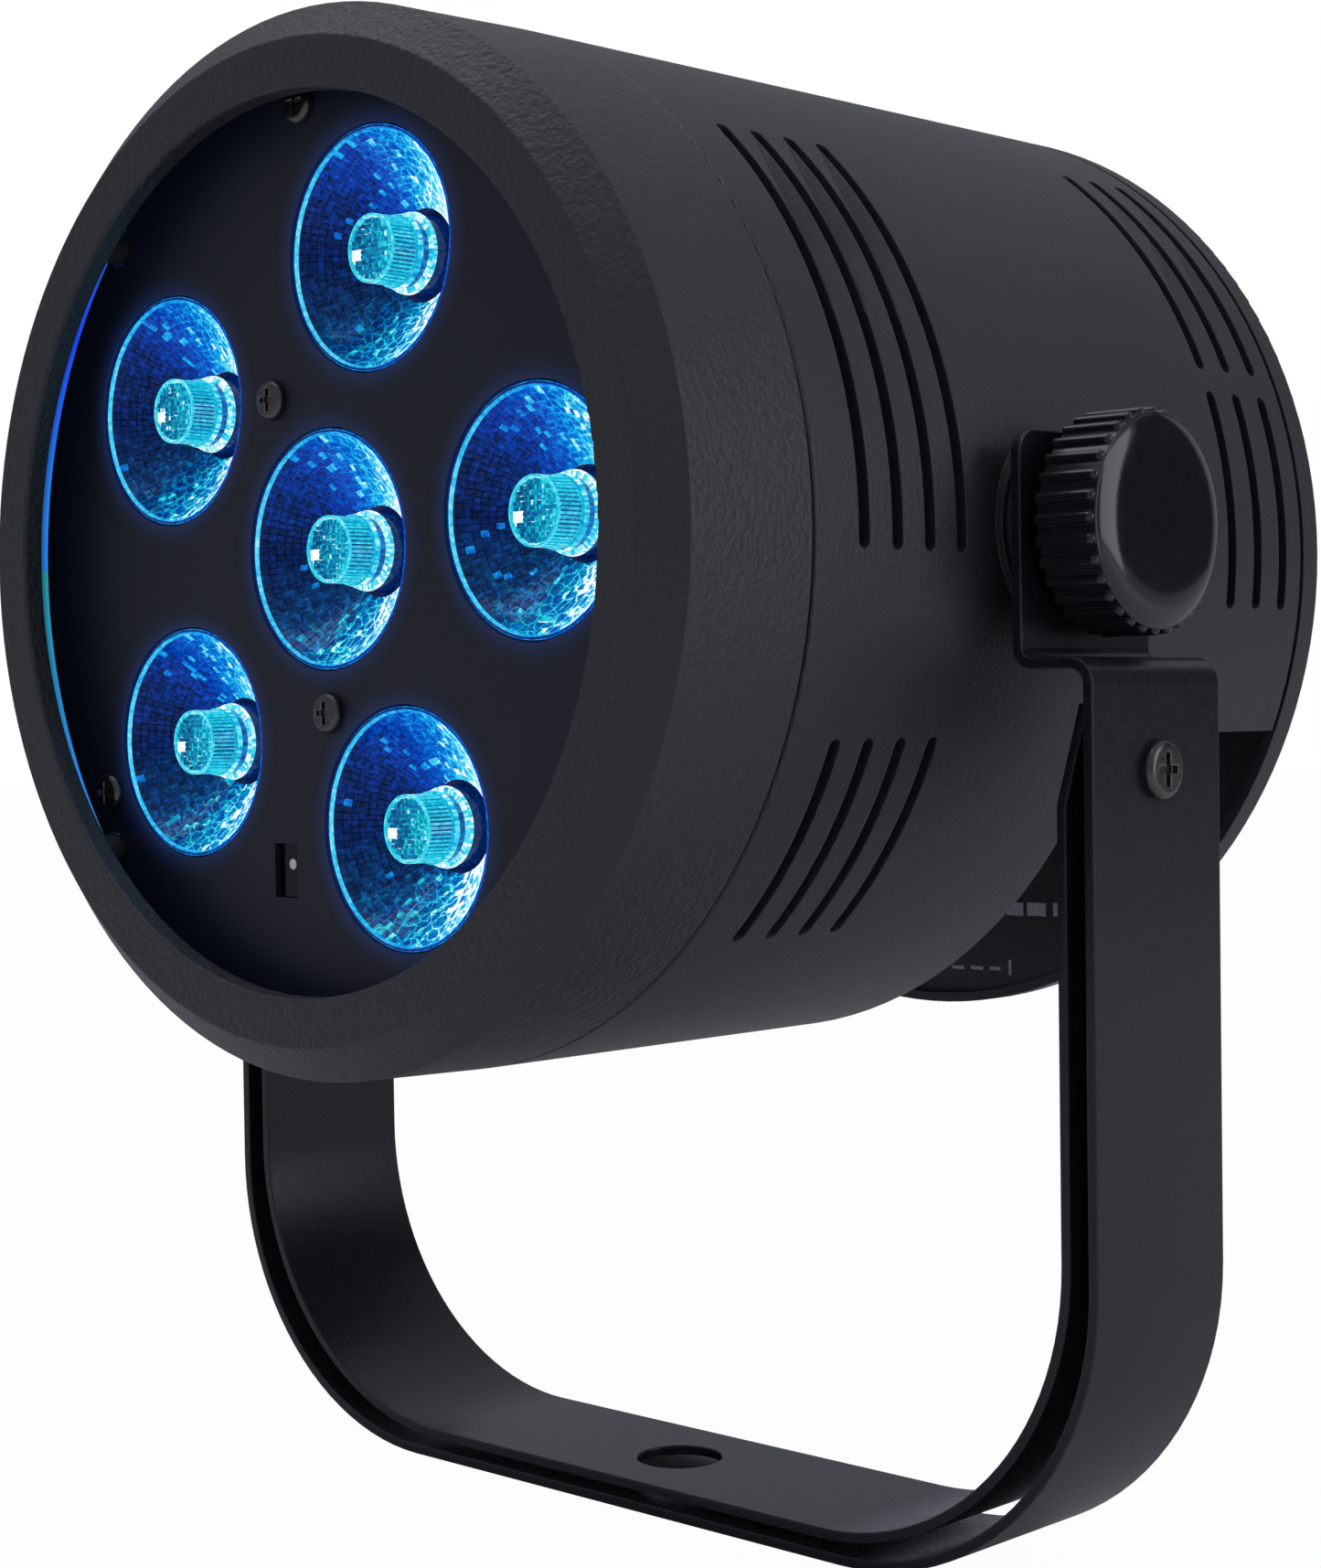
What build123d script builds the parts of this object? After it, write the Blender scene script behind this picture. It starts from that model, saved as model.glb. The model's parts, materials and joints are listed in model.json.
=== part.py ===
"""Par can light: a round LED lamp head in a U yoke with a second, folding floor bracket.

Frame: +Z up, the lamp shines towards -Y, +X is its left hand side as it shines.
The origin is on the underside of the outer yoke, at the centre of its bolt hole.
Inside the head every depth is counted backwards from the front face of the bezel.
"""
from build123d import *
from math import cos, degrees, radians, sin, sqrt
import os

os.makedirs("parts", exist_ok=True)

# ---------------------------------------------------------------- driving sizes, mm
lamp_height = 143.0          # lamp axis above the underside of the outer yoke
tilt_height = 144.4          # tilt axis, a little above the lamp axis
pivot_depth = 75.5           # tilt axis behind the front face
running_gap = 0.1            # between faces of two bodies that turn on each other

body_radius = 73.0
shell_inner = 70.4
bezel_end = 25.4
shell_start = 26.0           # the 0.6 mm seam behind the bezel
shell_end = 138.8
cap_start = 139.4
cap_end = 144.2

aperture_radius = 60.8
ridge_radius = 67.6
chamfer_radius = 72.5
chamfer_depth = 4.3
lip_thickness = 3.0
bezel_inner = 68.8
spigot_outer = 70.2
spigot_end = 31.0
bezel_boss_circle = 66.4
bezel_boss_radius = 2.6
bezel_boss_angles = (45, 135, 220, 320)

plate_front = 8.2
plate_back = 10.0
plate_radius = 66.9
lens_circle = 41.0
lens_first_angle = 4.0
lens_hole = 16.7
lens_rim = 16.4
lens_front = 8.5
post_radius = 4.65
cup_radius = 17.8              # outside of a lens holder cup
cup_bore = 15.7
bowl_depth = 17.6
cup_foot = 22.0                # the web that joins the cups
cup_web = 1.4
led_window = 8.2
# plate screws: (radius, angle) seen from the front
plate_screw_places = ((23.8, 117.0), (22.4, -89.0), (61.2, 93.5), (61.2, -146.5), (61.2, -26.5))
sensor_x, sensor_z = -9.8, -44.3
sensor_width, sensor_height = 5.0, 7.6

board_front = 24.8
sink_front = 26.6
sink_back = 31.2
sink_radius = 68.4
fin_end = 56.0
fin_reach = 58.0
fin_pitch = 9.0
sink_screw_circle = 66.0
sink_screw_angles = (20, 110, 200, 290)

slot_width = 2.2
front_slots = (35.4, 42.0, 48.6, 55.2)
rear_slots = (119.6, 126.5, 133.4)
upper_front_arc = (-2.1, 47.8)
lower_front_arc = (-46.9, -21.4)
upper_rear_arc = (21.4, 53.5)
lower_rear_arc = (-7.0, 18.7)

notch_start = 94.2
notch_top = -27.1            # below the lamp axis
notch_wall = 2.5
connector_depth = 114.0      # centre of the connectors
data_offset = 42.0

pad_radius = 13.0
pad_face = 74.0
insert_radius = 4.5
insert_end = 61.5
stud_radius = 2.95

strip_thickness = 1.5
yoke_width = 29.4
yoke_half_span = 89.35
yoke_corner = 44.2
tab_face = 78.2
tab_top = 13.7
ledge_top = -16.5
bolt_hole = 5.5

bracket_width = 28.6
bracket_half_span = 84.7
bracket_drop = 140.0
bracket_corner = 44.1
bracket_hole = 6.6
pivot_drop = 32.8            # bracket pivots below the tilt axis
pivot_shank = 2.0
pivot_head = 4.0
pivot_head_height = 1.7
pivot_length = 12.4
pivot_bore = 2.05

knob_radius = 14.3
knob_rib = 0.8
knob_ribs = 32
knob_base = 80.8
knob_face = 89.8
dome_radius = 14.1
dome_height = 1.3

screw_shank = 1.5
screw_head = 2.8

cap_screw_angles = (70, 110, -14, 194)
cap_screw_circle = 66.0
panel_width, panel_height = 70.0, 40.0
display_z = 9.0
button_z = -9.0
button_pitch = 14.0
driver_depth = 62.0
driver_drop = -34.0
board_thickness = 1.6
tray_z = 4.0
tray_depth = 95.0
tray_lug_depth = 110.0
button_hole = 3.5
button_shaft = 3.3
button_foot = 136.9
cap_inner = 141.0
board_back = 131.0
plug_depth = 13.0             # how far a data plug goes in
button_names = ("menu_button", "down_button", "up_button", "enter_button")

# ---------------------------------------------------------------- planes and helpers
lamp_axis = Axis((0, 0, lamp_height), (0, 1, 0))
tilt_axis = Axis((0, 0, tilt_height), (1, 0, 0))


def across(depth, x=0.0, z=0.0):
    """A plane square to the lamp axis, its normal towards the front."""
    return Plane((x, depth - pivot_depth, lamp_height + z), x_dir=(1, 0, 0), z_dir=(0, -1, 0))


def along(x=0.0, z=0.0):
    """A half-section plane: its first axis is depth, its second the radius."""
    return Plane((x, -pivot_depth, lamp_height + z), x_dir=(0, 1, 0), z_dir=(1, 0, 0))


def side(x, z=0.0, y=0.0):
    """A plane square to the tilt axis, at a height from it, its normal towards +X."""
    return Plane((x, y, tilt_height + z), x_dir=(0, 1, 0), z_dir=(1, 0, 0))


def level(z, depth=pivot_depth, x=0.0):
    """A horizontal plane in the head, at a height from the lamp axis."""
    return Plane((x, depth - pivot_depth, lamp_height + z), x_dir=(1, 0, 0), z_dir=(0, 0, 1))


def polar(radius, angle):
    """Places on a circle round the lamp axis, seen from the front."""
    return radius * cos(radians(angle)), radius * sin(radians(angle))


def save(builder, name):
    builder.part.label = name
    export_step(builder.part, f"parts/{name}.step")


plate_screw_points = [polar(r, a) for r, a in plate_screw_places]
lens_points = [(0.0, 0.0)] + [polar(lens_circle, lens_first_angle + 72 * i) for i in range(5)]
bezel_boss_points = [polar(bezel_boss_circle, a) for a in bezel_boss_angles]
sink_screw_points = [polar(sink_screw_circle, a) for a in sink_screw_angles]
cap_screw_points = [polar(cap_screw_circle, a) for a in cap_screw_angles]
board_post_points = [(x, z) for x in (-32, 32) for z in (-17, 17)]
button_points = [((i - 1.5) * button_pitch, button_z) for i in range(4)]


# ---------------------------------------------------------------- bezel and front plate
with BuildPart() as front_bezel:
    with BuildSketch(along()):
        with BuildLine():
            Polyline(
                (0, aperture_radius), (0, ridge_radius), (chamfer_depth, chamfer_radius),
                (bezel_end, body_radius), (bezel_end, spigot_outer), (spigot_end, spigot_outer),
                (spigot_end, bezel_inner), (lip_thickness, bezel_inner),
                (lip_thickness, aperture_radius), close=True)
        make_face()
    revolve(axis=lamp_axis)
    with BuildSketch(across(lip_thickness)):
        with Locations(bezel_boss_points):
            Circle(bezel_boss_radius)
    extrude(amount=-(sink_front - lip_thickness))
    with BuildSketch(across(sink_front)):
        with Locations(bezel_boss_points):
            Circle(screw_shank)
    extrude(amount=12, mode=Mode.SUBTRACT)
    front_ring = front_bezel.edges().filter_by(GeomType.CIRCLE).group_by(Axis.Y)[0]
    fillet(front_ring, 0.5)
save(front_bezel, "front_bezel")

with BuildPart() as front_plate:
    with BuildSketch(across(plate_front)):
        Circle(plate_radius)
        with Locations(lens_points):
            Circle(lens_hole, mode=Mode.SUBTRACT)
        with Locations(bezel_boss_points):
            Circle(bezel_boss_radius + 0.4, mode=Mode.SUBTRACT)
        with Locations(plate_screw_points):
            Circle(screw_shank + 0.1, mode=Mode.SUBTRACT)
        with Locations((sensor_x, sensor_z)):
            Rectangle(sensor_width, sensor_height, mode=Mode.SUBTRACT)
    extrude(amount=-(plate_back - plate_front))
save(front_plate, "front_plate")

with BuildPart() as sensor_window:
    with BuildSketch(across(plate_front + 0.9)):
        with Locations((sensor_x, sensor_z)):
            Rectangle(sensor_width, sensor_height)
    extrude(amount=-(plate_back - plate_front - 0.9))
    with BuildSketch(across(plate_back)):
        with Locations((sensor_x, sensor_z)):
            Rectangle(sensor_width + 2, sensor_height + 2)
    extrude(amount=-0.8)
save(sensor_window, "sensor_window")

with BuildPart() as infrared_receiver:
    with BuildSketch(across(board_front)):
        with Locations((sensor_x, sensor_z)):
            Rectangle(sensor_width, sensor_height)
    extrude(amount=4)
    with BuildSketch(across(board_front - 4)):
        with Locations((sensor_x, sensor_z)):
            Circle(1.9)
    extrude(amount=6)
save(infrared_receiver, "infrared_receiver")


def phillips_screw(plane, points, shank, head, head_height, length):
    """Pan head cross screws on a plane: heads stand on its normal side."""
    with BuildPart() as screws:
        with BuildSketch(plane):
            with Locations(points):
                Circle(head)
        extrude(amount=head_height)
        rims = screws.edges().filter_by(GeomType.CIRCLE).group_by(Axis(plane.origin, plane.z_dir))[-1]
        fillet(rims, head_height * 0.6)
        with BuildSketch(plane):
            with Locations(points):
                Circle(shank)
        extrude(amount=-length)
        with BuildSketch(plane.offset(head_height * 0.4)):
            with Locations(points):
                Rectangle(head * 1.15, head * 0.28)
                Rectangle(head * 0.28, head * 1.15)
        extrude(amount=head_height, mode=Mode.SUBTRACT)
    return screws


save(phillips_screw(across(plate_front), plate_screw_points, screw_shank, screw_head, 1.3, 8),
     "plate_screws")

with BuildPart() as plate_standoffs:
    with BuildSketch(across(plate_back)):
        with Locations(plate_screw_points):
            RegularPolygon(2.5, 6)
            Circle(screw_shank, mode=Mode.SUBTRACT)
    extrude(amount=-(sink_front - plate_back))
save(plate_standoffs, "plate_standoffs")


# ---------------------------------------------------------------- six lenses and LEDs
def lens(x, z):
    """A clear collimator: a bowl with a post in its middle and a pocket for the LED."""
    with BuildPart() as body:
        with BuildSketch(along(x, z)):
            with BuildLine():
                Polyline((lens_front, 0), (lens_front, post_radius), (bowl_depth, 4.9),
                         (bowl_depth, 6.4))
                ThreePointArc((bowl_depth, 6.4), (14.7, 11.8), (lens_front + 0.3, 15.7))
                Polyline((lens_front + 0.3, 15.7), (lens_front, 15.9), (lens_front, lens_rim),
                         (plate_back + 0.4, lens_rim), (plate_back + 0.4, 15.6))
                ThreePointArc((plate_back + 0.4, 15.6), (16.6, 12.6), (21.5, 7.6))
                Polyline((21.5, 7.6), (21.5, 3.2), (19.2, 3.0), (18.6, 0), (lens_front, 0))
            make_face()
        revolve(axis=Axis((x, 0, lamp_height + z), (0, 1, 0)))
    return body


with BuildPart() as lens_holder:
    # one black moulding: six cups that the lenses drop into, joined by a web at their foot
    with BuildSketch(across(plate_back + 0.4)):
        with Locations(lens_points):
            Circle(cup_radius)
        with Locations(lens_points):
            Circle(cup_bore, mode=Mode.SUBTRACT)
    extrude(amount=-(cup_foot - plate_back - 0.4))
    with BuildSketch(across(cup_foot)):
        Circle(lens_circle)
        with Locations(lens_points):
            Circle(cup_radius)
        with Locations(lens_points):
            Circle(led_window, mode=Mode.SUBTRACT)
        with Locations(plate_screw_points):
            Circle(3.4, mode=Mode.SUBTRACT)
        with Locations((sensor_x, sensor_z)):
            Rectangle(sensor_width + 1, sensor_height + 1, mode=Mode.SUBTRACT)
    extrude(amount=-cup_web)
    with BuildSketch(across(cup_foot + cup_web)):
        with PolarLocations(lens_circle - 22, 5, start_angle=lens_first_angle + 36):
            Circle(1.2)
    extrude(amount=-(board_front - cup_foot - cup_web))
save(lens_holder, "lens_holder")


def led(x, z):
    """A square LED package with a dome."""
    with BuildPart() as package:
        with BuildSketch(across(board_front, x, z)):
            Rectangle(5.4, 5.4)
        extrude(amount=1.0)
        with BuildSketch(along(x, z)):
            with BuildLine():
                Polyline((board_front - 1, 2.2), (board_front - 1, 0), (board_front - 3.2, 0))
                RadiusArc((board_front - 3.2, 0), (board_front - 1, 2.2), 2.2)
            make_face()
        revolve(axis=Axis((x, 0, lamp_height + z), (0, 1, 0)))
    return package


for number, (x, z) in enumerate(lens_points, 1):
    save(lens(x, z), f"lens_{number}")
    save(led(x, z), f"led_{number}")

with BuildPart() as led_board:
    with BuildSketch(across(board_front)):
        Circle(62.8)
        with Locations(plate_screw_points):
            Circle(3.2, mode=Mode.SUBTRACT)
    extrude(amount=-(sink_front - board_front))
save(led_board, "led_board")

# ---------------------------------------------------------------- heat sink and boards
with BuildPart() as heat_sink:
    with BuildSketch(across(sink_front)):
        Circle(sink_radius)
        with Locations(bezel_boss_points + sink_screw_points + plate_screw_points[2:]):
            Circle(screw_shank + 0.2, mode=Mode.SUBTRACT)
    extrude(amount=-(sink_back - sink_front))
    with BuildSketch(across(sink_back)):
        for i in range(-6, 7):
            with Locations((i * fin_pitch, 0)):
                Rectangle(2, 2 * sqrt(fin_reach**2 - (i * fin_pitch)**2) - 2)
    extrude(amount=-(fin_end - sink_back))
save(heat_sink, "heat_sink")

save(phillips_screw(across(sink_front), sink_screw_points, screw_shank, screw_head, 1.6, 14),
     "heat_sink_screws")
save(phillips_screw(across(sink_back).rotated((180, 0, 0)),
                    [(x, -z) for x, z in bezel_boss_points], screw_shank, screw_head, 1.6, 13),
     "bezel_screws")

with BuildPart() as driver_board:
    with BuildSketch(across(driver_depth, 0, driver_drop)):
        Rectangle(84, 44)
        with GridLocations(72, 36, 2, 2):
            Circle(screw_shank, mode=Mode.SUBTRACT)
    extrude(amount=-1.6)
    with BuildSketch(across(driver_depth + board_thickness, 0, driver_drop)):
        with GridLocations(22, 0, 3, 1):
            Rectangle(12, 12)
    extrude(amount=-8)
save(driver_board, "driver_board")

with BuildPart() as chassis_tray:
    with BuildSketch(level(tray_z, tray_depth)):
        Rectangle(112, 66)
        with Locations((0, tray_lug_depth - tray_depth)):
            Rectangle(128, 14)
        with GridLocations(122, 0, 2, 1):
            with Locations((0, tray_lug_depth - tray_depth)):
                Circle(screw_shank + 0.2, mode=Mode.SUBTRACT)
        with Locations((0, 22)):
            Circle(5, mode=Mode.SUBTRACT)
    extrude(amount=1.2)
save(chassis_tray, "chassis_tray")

with BuildPart() as board_standoffs:
    with BuildSketch(across(fin_end, 0, driver_drop)):
        with GridLocations(72, 36, 2, 2):
            RegularPolygon(2.8, 6)
    extrude(amount=-(driver_depth - fin_end))
    with BuildSketch(level(tray_z + 1.2, tray_depth)):
        with GridLocations(92, 54, 2, 2):
            RegularPolygon(2.8, 6)
    extrude(amount=5)
save(board_standoffs, "board_standoffs")

with BuildPart() as power_supply_board:
    with BuildSketch(level(tray_z + 6.2, tray_depth)):
        Rectangle(100, 62)
    extrude(amount=1.6)
    with BuildSketch(level(tray_z + 7.8, tray_depth)):
        with Locations((-4, 2)):
            Rectangle(32, 28)
        with Locations((30, -14)):
            Rectangle(18, 24)
    extrude(amount=22)
    with BuildSketch(level(tray_z + 7.8, tray_depth)):
        with Locations((-34, 12), (-34, -12)):
            Circle(9)
        with Locations((28, 16)):
            Circle(5.5)
    extrude(amount=26)
save(power_supply_board, "power_supply_board")


# ---------------------------------------------------------------- body shell
def radial(angle):
    """The outward direction at an angle above +X, seen from the front."""
    return Vector(cos(radians(angle)), 0, sin(radians(angle)))


vent_end = degrees(slot_width / 2 / body_radius)
vent_slots = [(depth, *arc) for depth in front_slots for arc in (upper_front_arc, lower_front_arc)]
vent_slots += [(depth, *arc) for depth in rear_slots for arc in (upper_rear_arc, lower_rear_arc)]

with BuildPart() as vents:
    for depth, first, last in vent_slots:
        out = radial(first + vent_end)
        with BuildSketch(Plane((0, 0, lamp_height), x_dir=(0, 1, 0),
                               z_dir=Vector(0, 1, 0).cross(out))):
            with Locations((depth - pivot_depth, (shell_inner + body_radius) / 2)):
                Rectangle(slot_width, 8)
        revolve(axis=Axis((0, 0, lamp_height), (0, -1, 0)),
                revolution_arc=last - first - 2 * vent_end)
        for angle in (first + vent_end, last - vent_end):
            out = radial(angle)
            start = Vector(0, depth - pivot_depth, lamp_height) + out * (shell_inner - 2)
            with BuildSketch(Plane(start, x_dir=(0, 1, 0), z_dir=out)):
                Circle(slot_width / 2)
            extrude(amount=8)
    mirror(about=Plane.YZ)

with BuildPart() as body_shell:
    with BuildSketch(across(shell_start)):
        Circle(body_radius)
        Circle(shell_inner, mode=Mode.SUBTRACT)
    extrude(amount=-(shell_end - shell_start))
    rims = body_shell.edges().filter_by(GeomType.CIRCLE).sort_by(SortBy.RADIUS)[-2:]
    fillet(rims, 0.5)
    # the two flat pads that carry the threaded inserts
    for x in (-pad_face, pad_face):
        inward = insert_end - pad_face
        with BuildSketch(side(x)):
            Circle(insert_radius + 3)
        extrude(amount=inward if x > 0 else -inward)
        with BuildSketch(side(x)):
            Circle(pad_radius)
        extrude(amount=-4 if x > 0 else 4)
    with BuildSketch(side(0)):
        Circle(insert_radius)
    extrude(amount=pad_face + 1, both=True, mode=Mode.SUBTRACT)
    # posts for the heat sink and the rear cap
    with BuildSketch(across(sink_back)):
        with Locations(sink_screw_points):
            Circle(5)
    extrude(amount=-14)
    with BuildSketch(across(shell_end)):
        with Locations(cap_screw_points):
            Circle(5)
    extrude(amount=18)
    # lugs for the tray
    with BuildSketch(level(tray_z, tray_lug_depth)):
        with Locations((-64.5, 0), (64.5, 0)):
            Rectangle(12, 12)
    extrude(amount=-8)
    with BuildSketch(across(shell_start)):
        Circle(body_radius + 20)
        Circle(body_radius, mode=Mode.SUBTRACT)
    extrude(amount=-20, mode=Mode.SUBTRACT)
    # the cable notch: cut away the lower rear, then close it with a wall and a ceiling
    with BuildSketch(across(notch_start)):
        with Locations((0, notch_top)):
            Rectangle(160, 80, align=(Align.CENTER, Align.MAX))
    extrude(amount=-60, mode=Mode.SUBTRACT)
    with BuildSketch(across(notch_start)):
        Circle(shell_inner + 0.5)
        with Locations((0, notch_top + notch_wall)):
            Rectangle(160, 160, align=(Align.CENTER, Align.MIN), mode=Mode.SUBTRACT)
    extrude(amount=notch_wall)
    with BuildSketch(across(notch_start)):
        Circle(shell_inner + 0.5)
        with Locations((0, notch_top + notch_wall)):
            Rectangle(160, 160, align=(Align.CENTER, Align.MIN), mode=Mode.SUBTRACT)
        with Locations((0, notch_top)):
            Rectangle(160, 160, align=(Align.CENTER, Align.MAX), mode=Mode.SUBTRACT)
    extrude(amount=-(shell_end - notch_start))
    with BuildSketch(level(notch_top, connector_depth)):
        Rectangle(114, 36)
    extrude(amount=notch_wall, mode=Mode.SUBTRACT)
    # screw holes
    with BuildSketch(across(sink_back)):
        with Locations(sink_screw_points):
            Circle(screw_shank)
    extrude(amount=-11, mode=Mode.SUBTRACT)
    with BuildSketch(across(shell_end)):
        with Locations(cap_screw_points):
            Circle(screw_shank)
    extrude(amount=12, mode=Mode.SUBTRACT)
    with BuildSketch(level(tray_z, tray_lug_depth)):
        with Locations((-61, 0), (61, 0)):
            Circle(screw_shank)
    extrude(amount=-7, mode=Mode.SUBTRACT)
    add(vents.part, mode=Mode.SUBTRACT)
save(body_shell, "body_shell")

save(phillips_screw(level(tray_z + 1.2, tray_lug_depth), [(-61, 0), (61, 0)],
                    screw_shank, screw_head, 1.6, 7), "tray_screws")

for sign, hand in ((1, "right"), (-1, "left")):
    with BuildPart() as threaded_insert:
        with BuildSketch(side(sign * insert_end)):
            Circle(insert_radius)
            Circle(stud_radius + 0.05, mode=Mode.SUBTRACT)
        extrude(amount=sign * (pad_face - 0.3 - insert_end))
    save(threaded_insert, f"threaded_insert_{hand}")

    with BuildPart() as friction_washer:
        with BuildSketch(side(sign * pad_face)):
            Circle(pad_radius - 1)
            Circle(stud_radius + 0.3, mode=Mode.SUBTRACT)
        extrude(amount=sign * (tab_face - strip_thickness - running_gap - pad_face))
    save(friction_washer, f"friction_washer_{hand}")

    with BuildPart() as knob_stud:
        with BuildSketch(side(sign * (insert_end + 3))):
            Circle(stud_radius)
        extrude(amount=sign * (knob_face - 3 - insert_end - 3))
        chamfer(knob_stud.edges().sort_by(Axis.X)[0 if sign > 0 else -1], 0.6)
    save(knob_stud, f"knob_stud_{hand}")

    with BuildPart() as knob:
        with BuildSketch(side(sign * knob_base)):
            Circle(knob_radius)
        extrude(amount=sign * (knob_face - knob_base))
        with BuildSketch(side(sign * knob_base)):
            with PolarLocations(knob_radius, knob_ribs):
                Circle(knob_rib)
        extrude(amount=sign * (knob_face - knob_base - 1.2 * knob_rib))
        with Locations(side(sign * (knob_face - 1.2 * knob_rib))):
            with PolarLocations(knob_radius, knob_ribs):
                Sphere(knob_rib)
        with BuildSketch(Plane((0, 0, tilt_height), x_dir=(1, 0, 0), z_dir=(0, -1, 0))):
            with BuildLine():
                Polyline((sign * (knob_face + dome_height), 0), (sign * (knob_face - 1), 0),
                         (sign * (knob_face - 1), dome_radius), (sign * knob_face, dome_radius))
                Spline((sign * knob_face, dome_radius),
                       (sign * (knob_face + dome_height * 0.8), dome_radius * 0.6),
                       (sign * (knob_face + dome_height), 0),
                       tangents=[(sign * 0.6, -1), (0, -1)])
            make_face()
        revolve(axis=tilt_axis)
        with BuildSketch(side(sign * knob_base)):
            Circle(12)
            Circle(8, mode=Mode.SUBTRACT)
        extrude(amount=sign * 4, mode=Mode.SUBTRACT)
        with BuildSketch(side(sign * (tab_face + running_gap))):
            Circle(8)
        extrude(amount=sign * (knob_base - tab_face - running_gap + 1))
        with BuildSketch(side(sign * (tab_face + running_gap))):
            Circle(stud_radius)
        extrude(amount=sign * (knob_face - 3 - tab_face - running_gap), mode=Mode.SUBTRACT)
    save(knob, f"knob_{hand}")


# ---------------------------------------------------------------- outer yoke
def bar_profile(outer, outer_radii, inner, inner_radii):
    """Side view of a bent flat bar: the band between two filleted outlines."""
    with BuildSketch(Plane.XZ) as profile:
        with BuildLine():
            outside = FilletPolyline(*outer, radius=outer_radii)
            inside = FilletPolyline(*inner, radius=inner_radii)
            Line(outside @ 0, inside @ 0)
            Line(outside @ 1, inside @ 1)
        make_face()
    return profile.sketch


def both_sides(half):
    """A right-hand half outline, continued by its mirror image."""
    return half + [(-x, z) for x, z in reversed(half)]


yoke_outer = both_sides([(tab_face, lamp_height + tab_top), (tab_face, lamp_height + ledge_top),
                         (yoke_half_span, lamp_height + ledge_top), (yoke_half_span, 0)])
yoke_inner = both_sides([(tab_face - strip_thickness, lamp_height + tab_top),
                         (tab_face - strip_thickness, lamp_height + ledge_top - strip_thickness),
                         (yoke_half_span - strip_thickness, lamp_height + ledge_top - strip_thickness),
                         (yoke_half_span - strip_thickness, strip_thickness)])

outer_bends = [1.5, 3.5, yoke_corner, yoke_corner, 3.5, 1.5]
inner_bends = [1.5 + strip_thickness, 3.5 - strip_thickness, yoke_corner - strip_thickness,
               yoke_corner - strip_thickness, 3.5 - strip_thickness, 1.5 + strip_thickness]
yoke_profile = bar_profile(
    yoke_outer, outer_bends,
    yoke_inner, inner_bends)

with BuildPart() as outer_yoke:
    extrude(yoke_profile, amount=yoke_width / 2, both=True)
    tab_corners = outer_yoke.edges().filter_by(Axis.X).group_by(Axis.Z)[-1]
    fillet(tab_corners, 3.5)
    with BuildSketch(side(0)):
        Circle(stud_radius + 0.3)
    extrude(amount=yoke_half_span + 1, both=True, mode=Mode.SUBTRACT)
    with BuildSketch(side(0, -pivot_drop)):
        Circle(pivot_shank)
    extrude(amount=yoke_half_span + 1, both=True, mode=Mode.SUBTRACT)
    with BuildSketch(Plane.XY):
        Circle(bolt_hole)
    extrude(amount=strip_thickness, mode=Mode.SUBTRACT)
save(outer_yoke, "outer_yoke")

# ---------------------------------------------------------------- floor bracket
bracket_base = lamp_height - bracket_drop
bracket_top = lamp_height - 22.5
shoulder_z = lamp_height - 35.8
bracket_outer = both_sides([(bracket_half_span, bracket_top), (bracket_half_span, bracket_base)])
bracket_inner = both_sides([(bracket_half_span - strip_thickness, bracket_top),
                            (bracket_half_span - strip_thickness, bracket_base + strip_thickness)])

bracket_profile = bar_profile(bracket_outer, [bracket_corner, bracket_corner],
                              bracket_inner, [bracket_corner - strip_thickness] * 2)

with BuildPart() as floor_bracket:
    extrude(bracket_profile, amount=bracket_width / 2, both=True)
    # the ends of both arms taper, so that they swing clear under the yoke's ledge
    with BuildSketch(Plane.YZ):
        for way in (-1, 1):
            with BuildLine():
                Polyline((way * bracket_width / 2, shoulder_z), (way * 9.1, bracket_top),
                         (way * bracket_width, bracket_top), (way * bracket_width, shoulder_z),
                         close=True)
            make_face()
    extrude(amount=bracket_half_span + 5, both=True, mode=Mode.SUBTRACT)
    with BuildSketch(side(0, -pivot_drop)):
        Circle(pivot_bore)
    extrude(amount=bracket_half_span + 1, both=True, mode=Mode.SUBTRACT)
    with BuildSketch(Plane.XY):
        Circle(bracket_hole)
    extrude(amount=bracket_base + strip_thickness + 1, mode=Mode.SUBTRACT)
save(floor_bracket, "floor_bracket")

# ---------------------------------------------------------------- bracket pivots
spacer_length = yoke_half_span - strip_thickness - bracket_half_span - running_gap
pivot_ends = (side(yoke_half_span, -pivot_drop),
              Plane((-yoke_half_span, 0, tilt_height - pivot_drop),
                    x_dir=(0, 1, 0), z_dir=(-1, 0, 0)))

for plane, hand in zip(pivot_ends, ("right", "left")):
    screw = phillips_screw(plane, [(0, 0)], pivot_shank, pivot_head, pivot_head_height,
                           pivot_length)
    save(screw, f"pivot_screw_{hand}")

with BuildPart() as pivot_spacers:
    for plane in pivot_ends:
        with BuildSketch(plane.offset(-strip_thickness)):
            Circle(5.5)
            Circle(pivot_shank, mode=Mode.SUBTRACT)
        extrude(amount=-spacer_length)
save(pivot_spacers, "pivot_spacers")

with BuildPart() as pivot_nuts:
    for plane in pivot_ends:
        with BuildSketch(plane.offset(-(2 * strip_thickness + spacer_length + 2 * running_gap))):
            RegularPolygon(3.5, 6, major_radius=False)
            Circle(pivot_shank, mode=Mode.SUBTRACT)
        extrude(amount=-4.8)
save(pivot_nuts, "pivot_nuts")

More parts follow.
